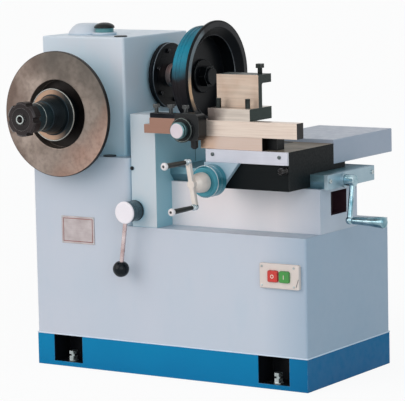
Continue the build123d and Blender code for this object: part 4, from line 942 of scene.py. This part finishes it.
# Cutter head
# A black micrometer head on the bar, with a scale ring, a pale knob and a locking screw below.
dress(moulded("cutter_head_black", (16, 19, 21), (8, 12, 14), 0.34, shine=0.25), "cutter_head", "lock_screw")
knob_low, knob_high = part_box("micrometer_knob")
knob_x, knob_z = (knob_low.x + knob_high.x) / 2, (knob_low.z + knob_high.z) / 2
knob_long, knob_radius = 26, 25
knob_line = ([(knob_x, knob_low.y + knob_long / 1000, knob_z)], outward, "cutter_knob")
knob_back = knob_long - (knob_high.y - knob_low.y) * 1000
turned_part("knob_turned", lathe_turned("knob_side", (112, 146, 150), (62, 96, 100), knob_line, 0.85, 0.26),
            knob_line, [
                (knob_back, 0), (knob_back, 9), (0, 9), (0, knob_radius - 1), (4, knob_radius),
                (12, knob_radius), (12.5, knob_radius - 1.2), (14.5, knob_radius - 1.2), (15, knob_radius),
                (knob_long - 2.5, knob_radius), (knob_long - 0.4, knob_radius - 2.2), (knob_long - 0.4, 0)],
            0.6, ("micrometer_knob",), 96)
turned_part("knob_face", moulded("knob_white", (212, 200, 206), (196, 186, 194), 0.34), knob_line, [
    (knob_long - 1.2, 0), (knob_long - 1.2, knob_radius - 2.6), (knob_long, knob_radius - 3.4), (knob_long, 0)],
    0.5, steps=96)
turned_part("scale_ring", bright_metal("scale_bright", (128, 138, 132), (80, 92, 88), 0.3),
            ([(knob_x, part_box("cutter_head")[0].y, knob_z)], outward, "cross_slide"),
            band_rows(-0.5, 0.4, 33.4, 35.0), 0.2, steps=96)


# Tool post
# A ground steel block with a C outline: the tool lies in its slot, and a square-headed screw in the
# upper jaw holds it. Cap screws fix its base to the bar.
# All faces but the front are dark green: painted shade on the block's sides.
dress(two_faced("post_steel", (202, 184, 168), (190, 166, 148), (22, 36, 33), outward, 0.3, 0.4,
                (0.05, 1, 1), 0.3), "tool_post")
base_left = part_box("post_base")[0].x
dress(ground("post_base_ground", (92, 84, 80), (196, 186, 176), (26, 42, 38),
             span=(base_left + 0.02, base_left + 0.08)), "post_base")
dress(bright_metal("post_screw_dark", (64, 68, 66), (26, 30, 30), 0.32), "post_bolts", "post_screw")


# Bed crank
# A chromed crank on the bed screw, with a turned handle that widens to its round end.
chrome = bright_metal("chrome", (176, 198, 206), (78, 124, 138), 0.14)
dress(chrome, "bed_crank")
handle_low, handle_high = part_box("bed_handle")
handle_line = ([(handle_low.x, (handle_low.y + handle_high.y) / 2, (handle_low.z + handle_high.z) / 2)],
               rightward, "bed_handwheel")
turned_part("bed_handle_turned", chrome, handle_line, [
    (0, 0), (0, 8.0), (3, 10.4), (8, 11.0), (34, 11.8), (66, 14.0), (92, 16.4), (104, 17.2), (109, 16.0),
    (112, 11.6), (112, 0)], 3, ("bed_handle",), 72)


# Shift lever
# A round boss with a white face shifts the feed. A steel rod hangs from it and ends in a black ball.
boss_low, boss_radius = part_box("lever_boss")[0], 0.031
boss_line = ([(boss_low.x + boss_radius, boss_low.y, boss_low.z + boss_radius)], outward, "shift_lever")
dress(lathe_turned("boss_steel", (92, 122, 132), (30, 42, 48), boss_line, 0.6, 0.22, 90.0), "lever_boss")
turned_part("lever_boss_face", moulded("boss_white", (236, 231, 236), (222, 216, 222), 0.3), boss_line, [
    (0.6, 0), (0.6, 30), (-0.6, 33.4), (-4.6, 34), (-5.2, 33), (-5.2, 0)], 1.2, steps=72)
turned_part("lever_boss_seat", black_oxide, boss_line, [
    (-60, 30), (-59.5, 31.8), (-54.5, 31.8), (-54, 30), (-60, 30)], 0.6, steps=72)
dress(bright_metal("lever_steel", (218, 204, 204), (176, 150, 148), 0.24), "lever_rod")
dress(moulded("ball_black", (9, 14, 20), (6, 30, 36), 0.14, shine=0.16), "lever_ball")
